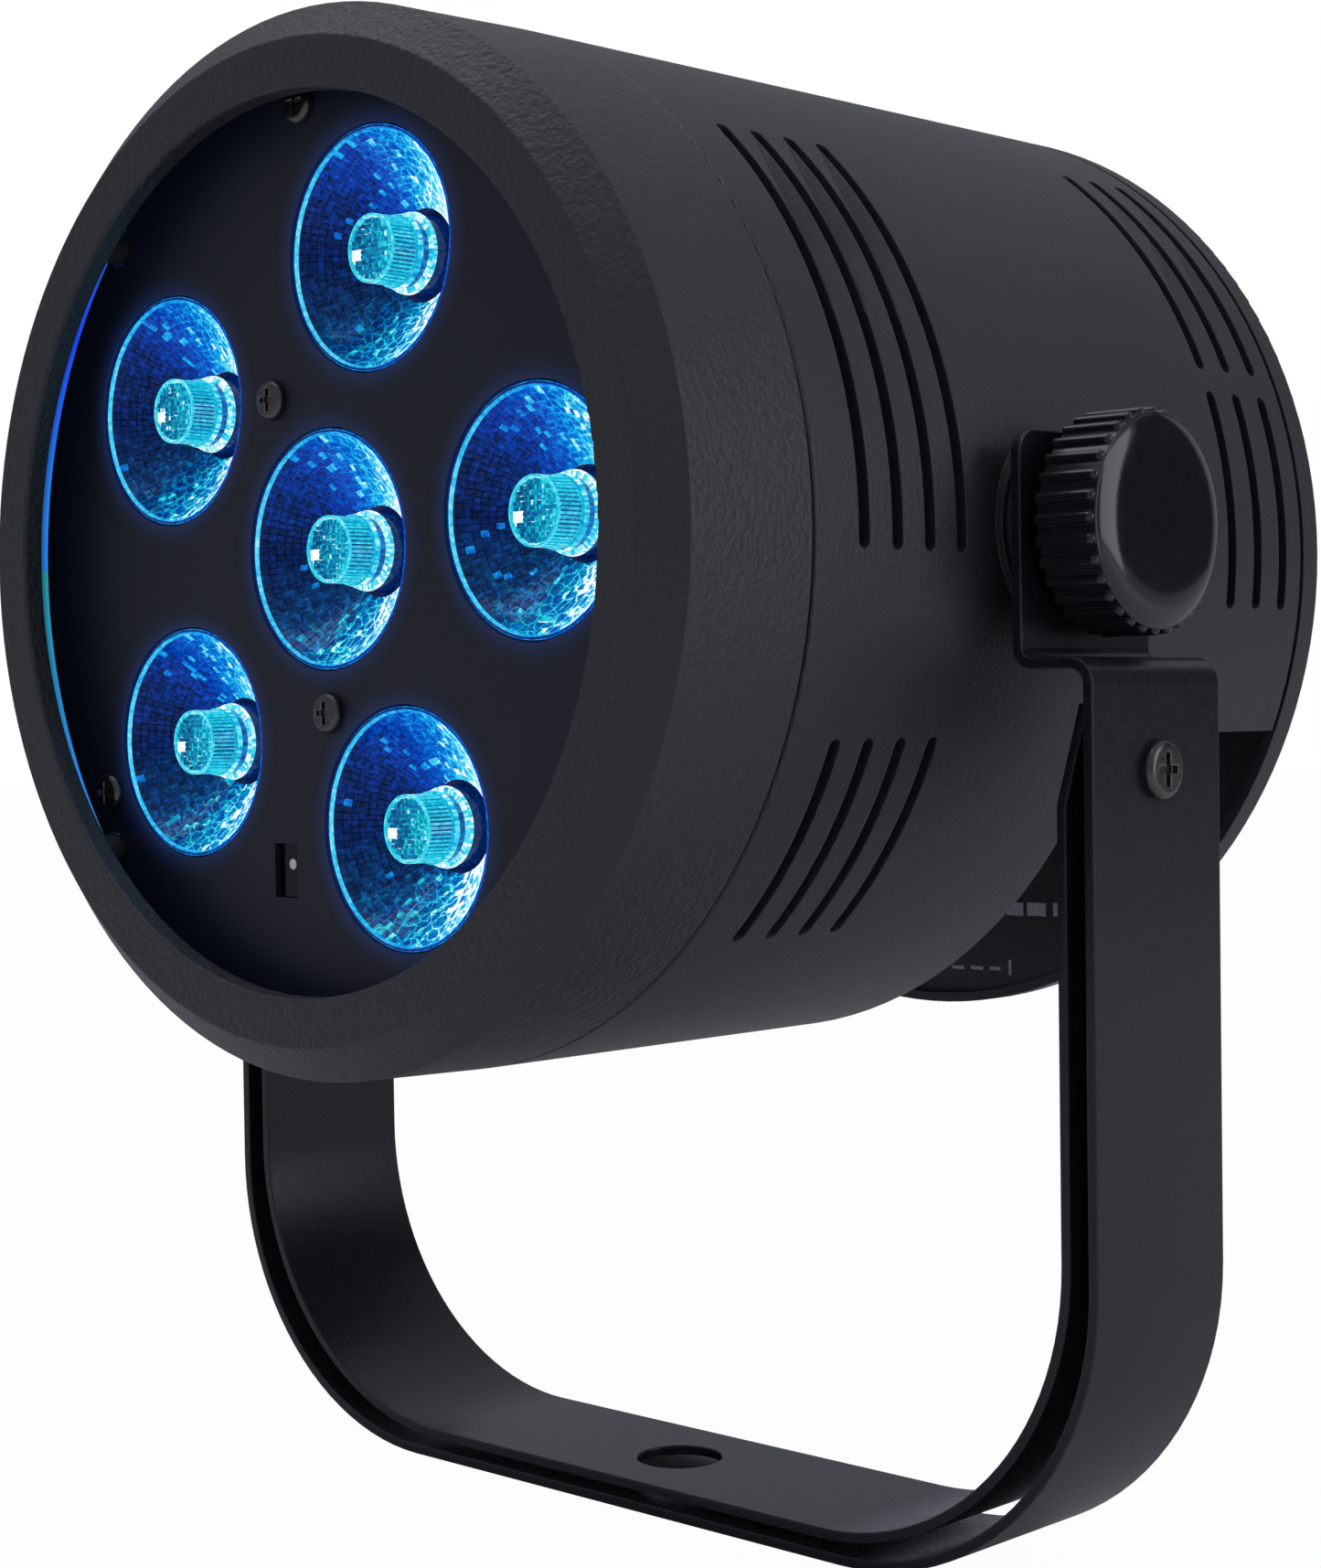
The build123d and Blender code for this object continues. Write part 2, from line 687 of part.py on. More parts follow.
# ---------------------------------------------------------------- rear cap and its controls
with BuildPart() as rear_cap:
    with BuildSketch(across(cap_inner)):
        Circle(body_radius)
    extrude(amount=-(cap_end - cap_inner))
    fillet(rear_cap.edges().group_by(Axis.Y)[-1], 1.2)
    with BuildSketch(across(cap_start)):
        Circle(body_radius)
        Circle(body_radius - 1.6, mode=Mode.SUBTRACT)
    extrude(amount=-(cap_inner - cap_start))
    with BuildSketch(across(cap_inner)):
        Circle(shell_inner - 0.3)
        Circle(shell_inner - 2.0, mode=Mode.SUBTRACT)
        with Locations((0, notch_top + notch_wall + 1)):
            Rectangle(160, 160, align=(Align.CENTER, Align.MAX), mode=Mode.SUBTRACT)
        with Locations(cap_screw_points):
            Circle(6, mode=Mode.SUBTRACT)
    extrude(amount=6)
    with BuildSketch(across(cap_inner)):
        with Locations(board_post_points):
            Circle(3)
    extrude(amount=cap_inner - board_back - 1.6)
    with BuildSketch(across(cap_end)):
        Rectangle(panel_width, panel_height)
    extrude(amount=1.2, mode=Mode.SUBTRACT)
    with BuildSketch(across(cap_end)):
        with Locations((0, display_z)):
            Rectangle(30.6, 14.6)
        with Locations(button_points):
            Circle(button_hole)
        with Locations(cap_screw_points):
            Circle(screw_shank + 0.2)
    extrude(amount=cap_end - cap_inner, mode=Mode.SUBTRACT)
    with BuildSketch(across(cap_end)):
        with Locations(cap_screw_points):
            Circle(screw_head + 0.3)
    extrude(amount=1.9, mode=Mode.SUBTRACT)
save(rear_cap, "rear_cap")

save(phillips_screw(across(cap_end - 1.9).rotated((180, 0, 0)),
                    [(x, -z) for x, z in cap_screw_points], screw_shank, screw_head, 1.6, 12),
     "rear_cap_screws")

with BuildPart() as control_overlay:
    with BuildSketch(across(cap_end - 0.4)):
        Rectangle(panel_width - 0.4, panel_height - 0.4)
        with Locations((0, display_z)):
            Rectangle(26.4, 10.4, mode=Mode.SUBTRACT)
        with Locations(button_points):
            Circle(button_hole, mode=Mode.SUBTRACT)
    extrude(amount=0.8)
save(control_overlay, "control_overlay")

with BuildPart() as display_window:
    with BuildSketch(across(cap_end - 0.5)):
        with Locations((0, display_z)):
            Rectangle(26.2, 10.2)
    extrude(amount=0.7)
save(display_window, "display_window")

with BuildPart() as display_board:
    with BuildSketch(across(board_back)):
        Rectangle(72, 42)
        with Locations(board_post_points):
            Circle(screw_shank, mode=Mode.SUBTRACT)
    extrude(amount=-1.6)
    with BuildSketch(across(board_back + 1.6)):
        with Locations(button_points):
            Rectangle(6, 6)
    extrude(amount=-3.5)
save(display_board, "display_board")

with BuildPart() as display_module:
    with BuildSketch(across(board_back + 1.6)):
        with Locations((0, display_z)):
            Rectangle(30, 14)
    extrude(amount=-8)
save(display_module, "display_module")

for name, (x, z) in zip(button_names, button_points):
    with BuildPart() as button:
        with BuildSketch(across(button_foot, x, z)):
            Circle(4.3)
        extrude(amount=-1.2)
        with BuildSketch(across(button_foot + 1.2, x, z)):
            Circle(button_shaft)
        extrude(amount=-(cap_end - 0.3 - button_foot - 1.2))
        fillet(button.edges().group_by(Axis.Y)[-1], 0.5)
    save(button, name)

# ---------------------------------------------------------------- connector panel in the notch
connector_face = notch_top + notch_wall     # underside of the connector plate
with BuildPart() as connector_plate:
    with BuildSketch(level(connector_face, connector_depth)):
        Rectangle(122, 41)
        with Locations((-data_offset, 0), (data_offset, 0)):
            Circle(12, mode=Mode.SUBTRACT)
        Rectangle(28, 32, mode=Mode.SUBTRACT)
        with GridLocations(118, 37, 2, 2):
            Circle(screw_shank, mode=Mode.SUBTRACT)
    extrude(amount=1.2)
save(connector_plate, "connector_plate")


def data_socket(x, pins_out):
    """A round three-pole data connector with a square flange, facing down."""
    with BuildPart() as socket:
        with BuildSketch(level(connector_face, connector_depth, x)):
            RectangleRounded(26, 31, 2.5)
        extrude(amount=-1.8)
        with BuildSketch(level(connector_face, connector_depth, x)):
            Circle(11.8)
        extrude(amount=21)
        with BuildSketch(level(connector_face - 1.8, connector_depth, x)):
            Circle(9.3)
            if not pins_out:
                Circle(7.6, mode=Mode.SUBTRACT)
        extrude(amount=plug_depth, mode=Mode.SUBTRACT)
        with BuildSketch(level(connector_face - 1.8 + plug_depth, connector_depth, x)):
            with PolarLocations(4.6, 3, start_angle=30, angular_range=-240 if pins_out else 240):
                Circle(1.2 if pins_out else 1.6)
        if pins_out:
            extrude(amount=-(plug_depth - 2))
        else:
            extrude(amount=-plug_depth, mode=Mode.SUBTRACT)
    return socket


save(data_socket(data_offset, True), "data_in_socket")

with BuildPart() as data_out_socket:
    add(data_socket(-data_offset, False).part)
    with BuildSketch(level(connector_face - 1.8, connector_depth, -data_offset)):
        with Locations((0, 12.4)):
            Rectangle(6.4, 3.4)
    extrude(amount=1.2, mode=Mode.SUBTRACT)
save(data_out_socket, "data_out_socket")

with BuildPart() as data_out_latch:
    with BuildSketch(level(connector_face - 1.8 - 0.9, connector_depth, -data_offset)):
        with Locations((0, 12.4)):
            Rectangle(6.2, 3.2)
    extrude(amount=1.1)
save(data_out_latch, "data_out_latch")

with BuildPart() as power_inlet:
    with BuildSketch(level(connector_face, connector_depth)):
        RectangleRounded(31, 35, 1.5)
    extrude(amount=-1.6)
    with BuildSketch(level(connector_face, connector_depth)):
        Rectangle(27.6, 31.6)
    extrude(amount=18)
    with BuildSketch(level(connector_face - 1.6, connector_depth)):
        with Locations((0, 6)):
            Rectangle(24, 16)
    extrude(amount=15, mode=Mode.SUBTRACT)
    with BuildSketch(level(connector_face + 13.4, connector_depth)):
        with Locations((-7, 7), (7, 7), (0, 2.5)):
            Rectangle(2, 4)
    extrude(amount=-12)
    with BuildSketch(level(connector_face - 1.6, connector_depth)):
        with Locations((0, -10)):
            Rectangle(24, 8)
    extrude(amount=12, mode=Mode.SUBTRACT)
save(power_inlet, "power_inlet")

with BuildPart() as fuse_drawer:
    with BuildSketch(level(connector_face - 1.7, connector_depth)):
        with Locations((0, -10)):
            Rectangle(23.8, 7.8)
    extrude(amount=10)
    with BuildSketch(level(connector_face - 1.7, connector_depth)):
        with Locations((0, -13.9)):
            Rectangle(8, 2)
    extrude(amount=1.5, mode=Mode.SUBTRACT)
save(fuse_drawer, "fuse_drawer")

save(phillips_screw(level(connector_face + 1.2, connector_depth),
                    [(x, y) for x in (-59, 59) for y in (-18.5, 18.5)],
                    screw_shank, screw_head, 1.6, 1.2), "connector_plate_screws")
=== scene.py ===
# %% [markdown]
# # A par can light, finished in Blender
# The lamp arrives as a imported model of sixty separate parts. Each part keeps its own place.
# Here the parts get their real finishes, and the lenses, the yoke and the bracket get the fine
# shapes that a workshop drawing leaves out.

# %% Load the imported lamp
import bpy
import bmesh
import json
import math
import random
from mathutils import Matrix, Vector


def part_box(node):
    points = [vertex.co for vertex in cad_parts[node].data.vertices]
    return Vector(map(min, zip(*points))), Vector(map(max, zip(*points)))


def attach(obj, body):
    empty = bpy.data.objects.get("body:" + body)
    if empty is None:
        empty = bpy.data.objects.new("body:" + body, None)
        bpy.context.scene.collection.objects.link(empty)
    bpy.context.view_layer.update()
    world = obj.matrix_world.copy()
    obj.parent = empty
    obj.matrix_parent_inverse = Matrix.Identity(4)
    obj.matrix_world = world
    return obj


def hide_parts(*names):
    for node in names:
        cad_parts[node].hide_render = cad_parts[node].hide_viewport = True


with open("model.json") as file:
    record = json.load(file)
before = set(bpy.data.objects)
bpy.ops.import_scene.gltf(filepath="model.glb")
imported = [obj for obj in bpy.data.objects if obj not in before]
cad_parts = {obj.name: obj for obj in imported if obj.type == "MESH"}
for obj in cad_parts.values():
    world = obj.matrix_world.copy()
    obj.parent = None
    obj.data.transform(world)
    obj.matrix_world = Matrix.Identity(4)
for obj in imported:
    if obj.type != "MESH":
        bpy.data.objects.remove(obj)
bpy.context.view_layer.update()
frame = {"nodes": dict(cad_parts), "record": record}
nodes = frame["nodes"]
MM = 0.001

# %% [markdown]
# ## Where things are
# The places below are read from the parts themselves. The lamp axis runs along Y through the middle
# of the bezel, and depths are counted backwards from its front face.

# %% Read the places from the parts
bezel_low, bezel_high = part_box("front_bezel")
AXIS_Z = (bezel_low.z + bezel_high.z) / 2
FRONT_Y = bezel_low.y
PLATE_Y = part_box("front_plate")[0].y
lens_centres = {}
for number in range(1, 7):
    low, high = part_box(f"lens_{number}")
    lens_centres[number] = ((low.x + high.x) / 2, (low.z + high.z) / 2)
LENS_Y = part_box("lens_1")[0].y
print("axis height", round(AXIS_Z, 4), "front", round(FRONT_Y, 4), "lens rim", round(LENS_Y, 4))

# %% [markdown]
# ## The camera
# The lamp is seen from the right front, as one faces it, a little below its axis, through a
# slightly long lens.

# %% Camera
camera_data = bpy.data.cameras.new("studio_camera")
camera = bpy.data.objects.new("studio_camera", camera_data)
bpy.context.scene.collection.objects.link(camera)
CAMERA_PLACE = Vector((0.2997, -0.3120, 0.1206))
RIGHT = Vector((0.7190, 0.6949, -0.0140))
UP = Vector((-0.0086, 0.0291, 0.9995))
back = RIGHT.cross(UP).normalized()
right = UP.cross(back).normalized()
up = back.cross(right)
turn = Matrix((right, up, back)).transposed().to_4x4()
camera.matrix_world = Matrix.Translation(CAMERA_PLACE) @ turn
camera_data.sensor_width = 36
camera_data.lens = 64.44
camera_data.clip_start = 0.01
bpy.context.scene.camera = camera
print("camera at", [round(c, 3) for c in CAMERA_PLACE])

# %% [markdown]
# ## Floor, room and lamps
# A black lamp shows its shape only by what it mirrors. So the room is pale and even, with a
# soft box above, a tall one at the side, and a black card behind the lamp, towards the right.
# The polished knob mirrors the tall box along its left edge and the card in the rest. The
# floor lights and mirrors as a pale floor does, but the camera sees it as almost white.


# %% A helper for math nodes
def sums(tree, kind, a, b):
    """A math node fed by sockets or numbers."""
    node = tree.nodes.new("ShaderNodeMath")
    node.operation = kind
    for slot, value in enumerate((a, b)):
        if value is None:
            continue
        if isinstance(value, (int, float)):
            node.inputs[slot].default_value = value
        else:
            tree.links.new(value, node.inputs[slot])
    return node.outputs[0]


# %% Floor
bpy.ops.object.select_all(action="DESELECT")
bpy.ops.mesh.primitive_plane_add(size=8, location=(0, 0, -0.0002))
floor = bpy.context.object
floor.name = "studio_floor"
floor_paint = bpy.data.materials.new("floor_paint")
floor_paint.use_nodes = True
floor_shader = floor_paint.node_tree.nodes["Principled BSDF"]
floor_shader.inputs["Base Color"].default_value = (0.93, 0.93, 0.935, 1)
floor_shader.inputs["Roughness"].default_value = 0.9
floor.data.materials.append(floor_paint)
floor_nodes, floor_links = floor_paint.node_tree.nodes, floor_paint.node_tree.links
WHITE_SHARE = 0.97
floor_white = floor_nodes.new("ShaderNodeEmission")
floor_white.inputs["Color"].default_value = (1, 1, 1, 1)
floor_mix = floor_nodes.new("ShaderNodeMixShader")
floor_path = floor_nodes.new("ShaderNodeLightPath")
floor_part = sums(floor_paint.node_tree, "MULTIPLY", floor_path.outputs["Is Camera Ray"],
                  WHITE_SHARE)
floor_links.new(floor_part, floor_mix.inputs[0])
floor_links.new(floor_shader.outputs[0], floor_mix.inputs[1])
floor_links.new(floor_white.outputs[0], floor_mix.inputs[2])
floor_links.new(floor_mix.outputs[0], floor_nodes["Material Output"].inputs["Surface"])
print("floor", floor.name)

# %% Room light
world = bpy.data.worlds.new("studio_room")
bpy.context.scene.world = world
world.use_nodes = True
wn, wl = world.node_tree.nodes, world.node_tree.links
wn.clear()
w_out = wn.new("ShaderNodeOutputWorld")
w_shine = wn.new("ShaderNodeBackground")
w_seen = wn.new("ShaderNodeBackground")
w_mix = wn.new("ShaderNodeMixShader")
w_path = wn.new("ShaderNodeLightPath")
w_place = wn.new("ShaderNodeTexCoord")
# The card lies where a direction is on the positive side of all four planes.
CARD_SIDES = [(-0.67, 0.74, -0.10), (0.98, -0.21, 0.0), (0.39, 0.46, 0.80), (0.39, 0.46, -0.80)]
w_height = wn.new("ShaderNodeSeparateXYZ")
w_ramp = wn.new("ShaderNodeValToRGB")
w_ramp.color_ramp.elements[0].position = 0.42
w_ramp.color_ramp.elements[0].color = (0.55, 0.57, 0.70, 1)
w_ramp.color_ramp.elements[1].position = 0.95
w_ramp.color_ramp.elements[1].color = (0.86, 0.88, 1.0, 1)
w_scale = wn.new("ShaderNodeMapRange")
w_scale.inputs["From Min"].default_value = -1.0
w_scale.inputs["From Max"].default_value = 1.0
w_tint = wn.new("ShaderNodeMix")
w_tint.data_type = "RGBA"
w_tint.inputs[7].default_value = (0.07, 0.07, 0.09, 1)
inside = None
for side in CARD_SIDES:
    w_dot = wn.new("ShaderNodeVectorMath")
    w_dot.operation = "DOT_PRODUCT"
    w_dot.inputs[1].default_value = side
    wl.new(w_place.outputs["Generated"], w_dot.inputs[0])
    past = w_dot.outputs["Value"]
    inside = past if inside is None else sums(world.node_tree, "MINIMUM", inside, past)
w_card = wn.new("ShaderNodeMapRange")
w_card.inputs["From Min"].default_value = 0.0
w_card.inputs["From Max"].default_value = 0.04
wl.new(inside, w_card.inputs["Value"])
wl.new(w_place.outputs["Generated"], w_height.inputs[0])
wl.new(w_height.outputs["Z"], w_scale.inputs["Value"])
wl.new(w_scale.outputs[0], w_ramp.inputs[0])
wl.new(w_card.outputs[0], w_tint.inputs[0])
wl.new(w_ramp.outputs[0], w_tint.inputs[6])
wl.new(w_tint.outputs[2], w_shine.inputs["Color"])
w_shine.inputs["Strength"].default_value = 0.46
w_seen.inputs["Color"].default_value = (1, 1, 1, 1)
w_seen.inputs["Strength"].default_value = 1.0
wl.new(w_path.outputs["Is Camera Ray"], w_mix.inputs[0])
wl.new(w_shine.outputs[0], w_mix.inputs[1])
wl.new(w_seen.outputs[0], w_mix.inputs[2])
wl.new(w_mix.outputs[0], w_out.inputs[0])
bpy.context.scene.view_settings.view_transform = "Standard"
print("room", world.name, "with a card of", len(CARD_SIDES), "sides")


# %% Soft lamps
def soft_lamp(name, place, aim, width, tall, watts):
    """A soft box that looks at a point."""
    data = bpy.data.lights.new(name, "AREA")
    data.shape = "RECTANGLE"
    data.size = width
    data.size_y = tall
    data.energy = watts
    data.color = (0.93, 0.95, 1.0)
    lamp = bpy.data.objects.new(name, data)
    bpy.context.scene.collection.objects.link(lamp)
    away = Vector(place) - Vector(aim)
    lamp.rotation_euler = away.to_track_quat("Z", "Y").to_euler()
    lamp.location = place
    return lamp


soft_lamp("top_box", (-0.3, -0.1, 1.3), (0, 0, 0.12), 1.0, 1.0, 4.0)
soft_lamp("side_box", (1.182, 0.498, 0.50), (0.09, 0, 0.50), 0.76, 0.92, 4.4)

# %% [markdown]
# ## Effects that several finishes share
# Moulded plastic, powder coat and black screws share three effects. A spark-eroded mould leaves
# fine pits, handling rubs the edges pale, and a little dust dulls the gloss. Each is a node
# group, so that one change reaches every finish.


# %% Shared effects
def effect(name, inputs, outputs):
    """An empty node group with its sockets, and its input and output nodes."""
    group = bpy.data.node_groups.new(name, "ShaderNodeTree")
    for label, value in inputs.items():
        socket = group.interface.new_socket(label, in_out="INPUT", socket_type="NodeSocketFloat")
        socket.default_value = value
    for label in outputs:
        group.interface.new_socket(label, in_out="OUTPUT", socket_type="NodeSocketFloat")
    return group, group.nodes.new("NodeGroupInput"), group.nodes.new("NodeGroupOutput")


def noise(tree, scale, detail=2.0, rough=0.5):
    """A noise texture on object coordinates, with its vector wired in."""
    place = tree.nodes.new("ShaderNodeTexCoord")
    texture = tree.nodes.new("ShaderNodeTexNoise")
    texture.inputs["Scale"].default_value = scale
    texture.inputs["Detail"].default_value = detail
    texture.inputs["Roughness"].default_value = rough
    tree.links.new(place.outputs["Object"], texture.inputs["Vector"])
    return texture


grain_group, grain_in, grain_out = effect(
    "spark_eroded_grain", {"Pits per metre": 1500.0, "Softness": 0.35}, ["Height", "Tone"])
fine = noise(grain_group, 1500, 1.5, 0.5)
coarse = noise(grain_group, 600, 2.0, 0.5)
grain_group.links.new(grain_in.outputs["Pits per metre"], fine.inputs["Scale"])
grain_group.links.new(
    sums(grain_group, "MULTIPLY", grain_in.outputs["Pits per metre"], 0.42), coarse.inputs["Scale"])
softened = sums(grain_group, "MULTIPLY", coarse.outputs[0], grain_in.outputs["Softness"])
height = sums(grain_group, "ADD", fine.outputs[0], softened)
grain_group.links.new(height, grain_out.inputs["Height"])
grain_group.links.new(sums(grain_group, "MULTIPLY", height, 0.75), grain_out.inputs["Tone"])

wear_group, wear_in, wear_out = effect(
    "rubbed_edges", {"Width": 0.0005, "Patchiness": 0.6}, ["Mask"])
rounded = wear_group.nodes.new("ShaderNodeBevel")
rounded.samples = 4
wear_group.links.new(wear_in.outputs["Width"], rounded.inputs["Radius"])
flat = wear_group.nodes.new("ShaderNodeNewGeometry")
across = wear_group.nodes.new("ShaderNodeVectorMath")
across.operation = "DOT_PRODUCT"
wear_group.links.new(rounded.outputs[0], across.inputs[0])
wear_group.links.new(flat.outputs["Normal"], across.inputs[1])
bend = sums(wear_group, "SUBTRACT", 1.0, across.outputs["Value"])
patches = noise(wear_group, 160, 4.0, 0.6)
patchy = sums(wear_group, "MULTIPLY", patches.outputs[0], wear_in.outputs["Patchiness"])
rub = sums(wear_group, "MULTIPLY", bend, sums(wear_group, "ADD", patchy, 0.5))
clamp = wear_group.nodes.new("ShaderNodeClamp")
wear_group.links.new(sums(wear_group, "MULTIPLY", rub, 4.0), clamp.inputs[0])
wear_group.links.new(clamp.outputs[0], wear_out.inputs["Mask"])

dust_group, dust_in, dust_out = effect("settled_dust", {"Amount": 0.3}, ["Mask"])
facing = dust_group.nodes.new("ShaderNodeNewGeometry")
parts = dust_group.nodes.new("ShaderNodeSeparateXYZ")
dust_group.links.new(facing.outputs["Normal"], parts.inputs[0])
upward = sums(dust_group, "MAXIMUM", parts.outputs["Z"], 0.0)
specks = noise(dust_group, 900, 3.0, 0.7)
cloud = noise(dust_group, 22, 3.0, 0.5)
layered = sums(dust_group, "MULTIPLY", specks.outputs[0], cloud.outputs[0])
lying = sums(dust_group, "MULTIPLY", layered, sums(dust_group, "ADD", upward, 0.15))
dust_group.links.new(sums(dust_group, "MULTIPLY", lying, dust_in.outputs["Amount"]),
                     dust_out.inputs["Mask"])
print("shared effects:", sorted(g.name for g in bpy.data.node_groups))


# %% [markdown]
# ## One way to make a finish
# Each finish starts the same way: a base colour, rubbed paler along the edges and under dust, a
# roughness that varies a little, and a bump from the grain. What differs is set in the recipe.


# %% The finish builder
def place_group(tree, group, **values):
    """Puts a shared effect into a material with its own values."""
    node = tree.nodes.new("ShaderNodeGroup")
    node.node_tree = group
    for label, value in values.items():
        node.inputs[label.replace("_", " ")].default_value = value
    return node


def tint(tree, factor, first, second):
    """A colour mix; first and second are colours or sockets."""
    node = tree.nodes.new("ShaderNodeMix")
    node.data_type = "RGBA"
    tree.links.new(factor, node.inputs[0])
    for slot, value in ((6, first), (7, second)):
        if isinstance(value, tuple):
            node.inputs[slot].default_value = (*value, 1)
        else:
            tree.links.new(value, node.inputs[slot])
    return node.outputs[2]


def remap(tree, value, low, high, to_low, to_high):
    """A value moved from one range to another."""
    node = tree.nodes.new("ShaderNodeMapRange")
    tree.links.new(value, node.inputs["Value"])
    limits = {"From Min": low, "From Max": high, "To Min": to_low, "To Max": to_high}
    for label, number in limits.items():
        node.inputs[label].default_value = number
    return node.outputs[0]


def finish(name, colour, worn, rough, metal=0.0, pits=1500.0, bump=0.15, edge=0.0004, dust=0.25,
           specular=0.5, coat=0.0, coat_rough=0.1, softness=0.35):
    """A grained, slightly worn and dusty finish. Returns the material, its tree and its shader."""
    material = bpy.data.materials.new(name)
    material.use_nodes = True
    tree = material.node_tree
    shader = tree.nodes["Principled BSDF"]
    grain = place_group(tree, grain_group, Pits_per_metre=pits, Softness=softness)
    wear = place_group(tree, wear_group, Width=edge)
    dirt = place_group(tree, dust_group, Amount=dust)
    paler = tuple(min(1.0, c * 1.5) for c in colour)
    darker = tuple(c * 0.62 for c in colour)
    toned = tint(tree, grain.outputs["Tone"], darker, paler)
    rubbed = tint(tree, wear.outputs["Mask"], toned, worn)
    dusty = tint(tree, dirt.outputs["Mask"], rubbed, (0.30, 0.29, 0.27))
    tree.links.new(dusty, shader.inputs["Base Color"])
    varied = remap(tree, grain.outputs["Tone"], 0.2, 0.9, rough * 0.85, min(1.0, rough * 1.15))
    tree.links.new(sums(tree, "ADD", varied, sums(tree, "MULTIPLY", dirt.outputs["Mask"], 0.5)),
                   shader.inputs["Roughness"])
    shader.inputs["Metallic"].default_value = metal
    shader.inputs["Specular IOR Level"].default_value = specular
    shader.inputs["Coat Weight"].default_value = coat
    shader.inputs["Coat Roughness"].default_value = coat_rough
    soft_edge = tree.nodes.new("ShaderNodeBevel")
    soft_edge.samples = 4
    soft_edge.inputs["Radius"].default_value = edge
    relief = tree.nodes.new("ShaderNodeBump")
    relief.inputs["Strength"].default_value = bump
    relief.inputs["Distance"].default_value = 0.0004
    tree.links.new(grain.outputs["Height"], relief.inputs["Height"])
    tree.links.new(soft_edge.outputs[0], relief.inputs["Normal"])
    tree.links.new(relief.outputs[0], shader.inputs["Normal"])
    return material, tree, shader


# %% [markdown]
# ## The finishes
# The bezel has the deepest grain and the shell a finer one. The yoke and bracket are satin
# powder coat, smoother than the plastic. The knobs are polished plastic.

# %% Finishes of the black parts
finishes = {}
finishes["moulded_black"] = finish(
    "fine_grained_black_plastic", (0.011, 0.0115, 0.014), (0.055, 0.056, 0.062), 0.50, pits=1900,
    bump=0.22, edge=0.0003)
finishes["bezel"] = finish(
    "deep_grained_black_plastic", (0.014, 0.0145, 0.017), (0.07, 0.071, 0.077), 0.50, pits=1250,
    bump=0.55, edge=0.0003, softness=0.5)
finishes["plate"] = finish(
    "matt_black_plate", (0.0035, 0.0050, 0.0100), (0.030, 0.032, 0.040), 0.50, pits=2600, bump=0.05,
    edge=0.0002, dust=0.10, specular=0.36)
finishes["holder_black"] = finish(
    "matt_black_moulding", (0.012, 0.012, 0.014), (0.05, 0.05, 0.05), 0.6, pits=1600, bump=0.1)
finishes["yoke_black"] = finish(
    "satin_powder_coat", (0.007, 0.0075, 0.0095), (0.09, 0.09, 0.10), 0.25, pits=1100, bump=0.04,
    edge=0.0004, dust=0.10, softness=0.6, specular=0.30)
finishes["knob_black"] = finish(
    "polished_black_plastic", (0.008, 0.008, 0.010), (0.04, 0.04, 0.045), 0.11, pits=700,
    bump=0.012, edge=0.0003, dust=0.10)
finishes["screw_black"] = finish(
    "black_oxide_steel", (0.085, 0.083, 0.080), (0.40, 0.39, 0.37), 0.26, metal=0.9, pits=1500,
    bump=0.08, edge=0.0003, dust=0.1)
finishes["steel"] = finish(
    "zinc_plated_steel", (0.52, 0.53, 0.56), (0.75, 0.75, 0.76), 0.32, metal=1.0, pits=900,
    bump=0.05, edge=0.0003, dust=0.1)
finishes["brass"] = finish(
    "turned_brass", (0.68, 0.50, 0.22), (0.85, 0.70, 0.40), 0.28, metal=1.0, pits=1200,
    bump=0.05, edge=0.0002, dust=0.1)
finishes["aluminium"] = finish(
    "extruded_aluminium", (0.60, 0.61, 0.63), (0.80, 0.80, 0.81), 0.38, metal=1.0, pits=800,
    bump=0.06, edge=0.0003, dust=0.2)
finishes["board_green"] = finish(
    "green_circuit_board", (0.02, 0.14, 0.05), (0.30, 0.32, 0.20), 0.35, pits=420, bump=0.12,
    edge=0.0003, dust=0.2)
finishes["rubber"] = finish(
    "washer_rubber", (0.014, 0.014, 0.014), (0.05, 0.05, 0.05), 0.7, pits=1300, bump=0.2)
finishes["nylon"] = finish(
    "black_nylon", (0.020, 0.020, 0.022), (0.08, 0.08, 0.08), 0.42, pits=900, bump=0.06)
finishes["overlay"] = finish(
    "printed_film", (0.010, 0.011, 0.014), (0.05, 0.05, 0.05), 0.34, pits=2200, bump=0.05,
    edge=0.0002)
finishes["window_dark"] = finish(
    "dark_tinted_window", (0.002, 0.002, 0.003), (0.02, 0.02, 0.024), 0.14, pits=600, bump=0.01,
    edge=0.0003, dust=0.02, specular=0.25)
print("finishes:", sorted(finishes))

# %% [markdown]
# ## Light that leaks round the front plate
# The plate leaves a slit of about two millimetres to the bezel wall. The lit lenses behind the
# plate would shine through it on the wall. Here that glow is painted light in blue and teal, broken
# where the screw bosses shade it, in the wall's emission and placed by radius, depth and angle.


# %% Painted glow on the bezel wall
def polar_place(tree):
    """Radius, depth and angle round the lamp axis, from object coordinates."""
    place = tree.nodes.new("ShaderNodeTexCoord")
    split = tree.nodes.new("ShaderNodeSeparateXYZ")
    tree.links.new(place.outputs["Object"], split.inputs[0])
    rise = sums(tree, "SUBTRACT", split.outputs["Z"], AXIS_Z)
    squared = sums(tree, "ADD", sums(tree, "MULTIPLY", split.outputs["X"], split.outputs["X"]),
                   sums(tree, "MULTIPLY", rise, rise))
    radius = sums(tree, "SQRT", squared, None)
    depth = sums(tree, "SUBTRACT", split.outputs["Y"], FRONT_Y)
    angle = sums(tree, "ARCTAN2", rise, split.outputs["X"])
    return radius, depth, angle


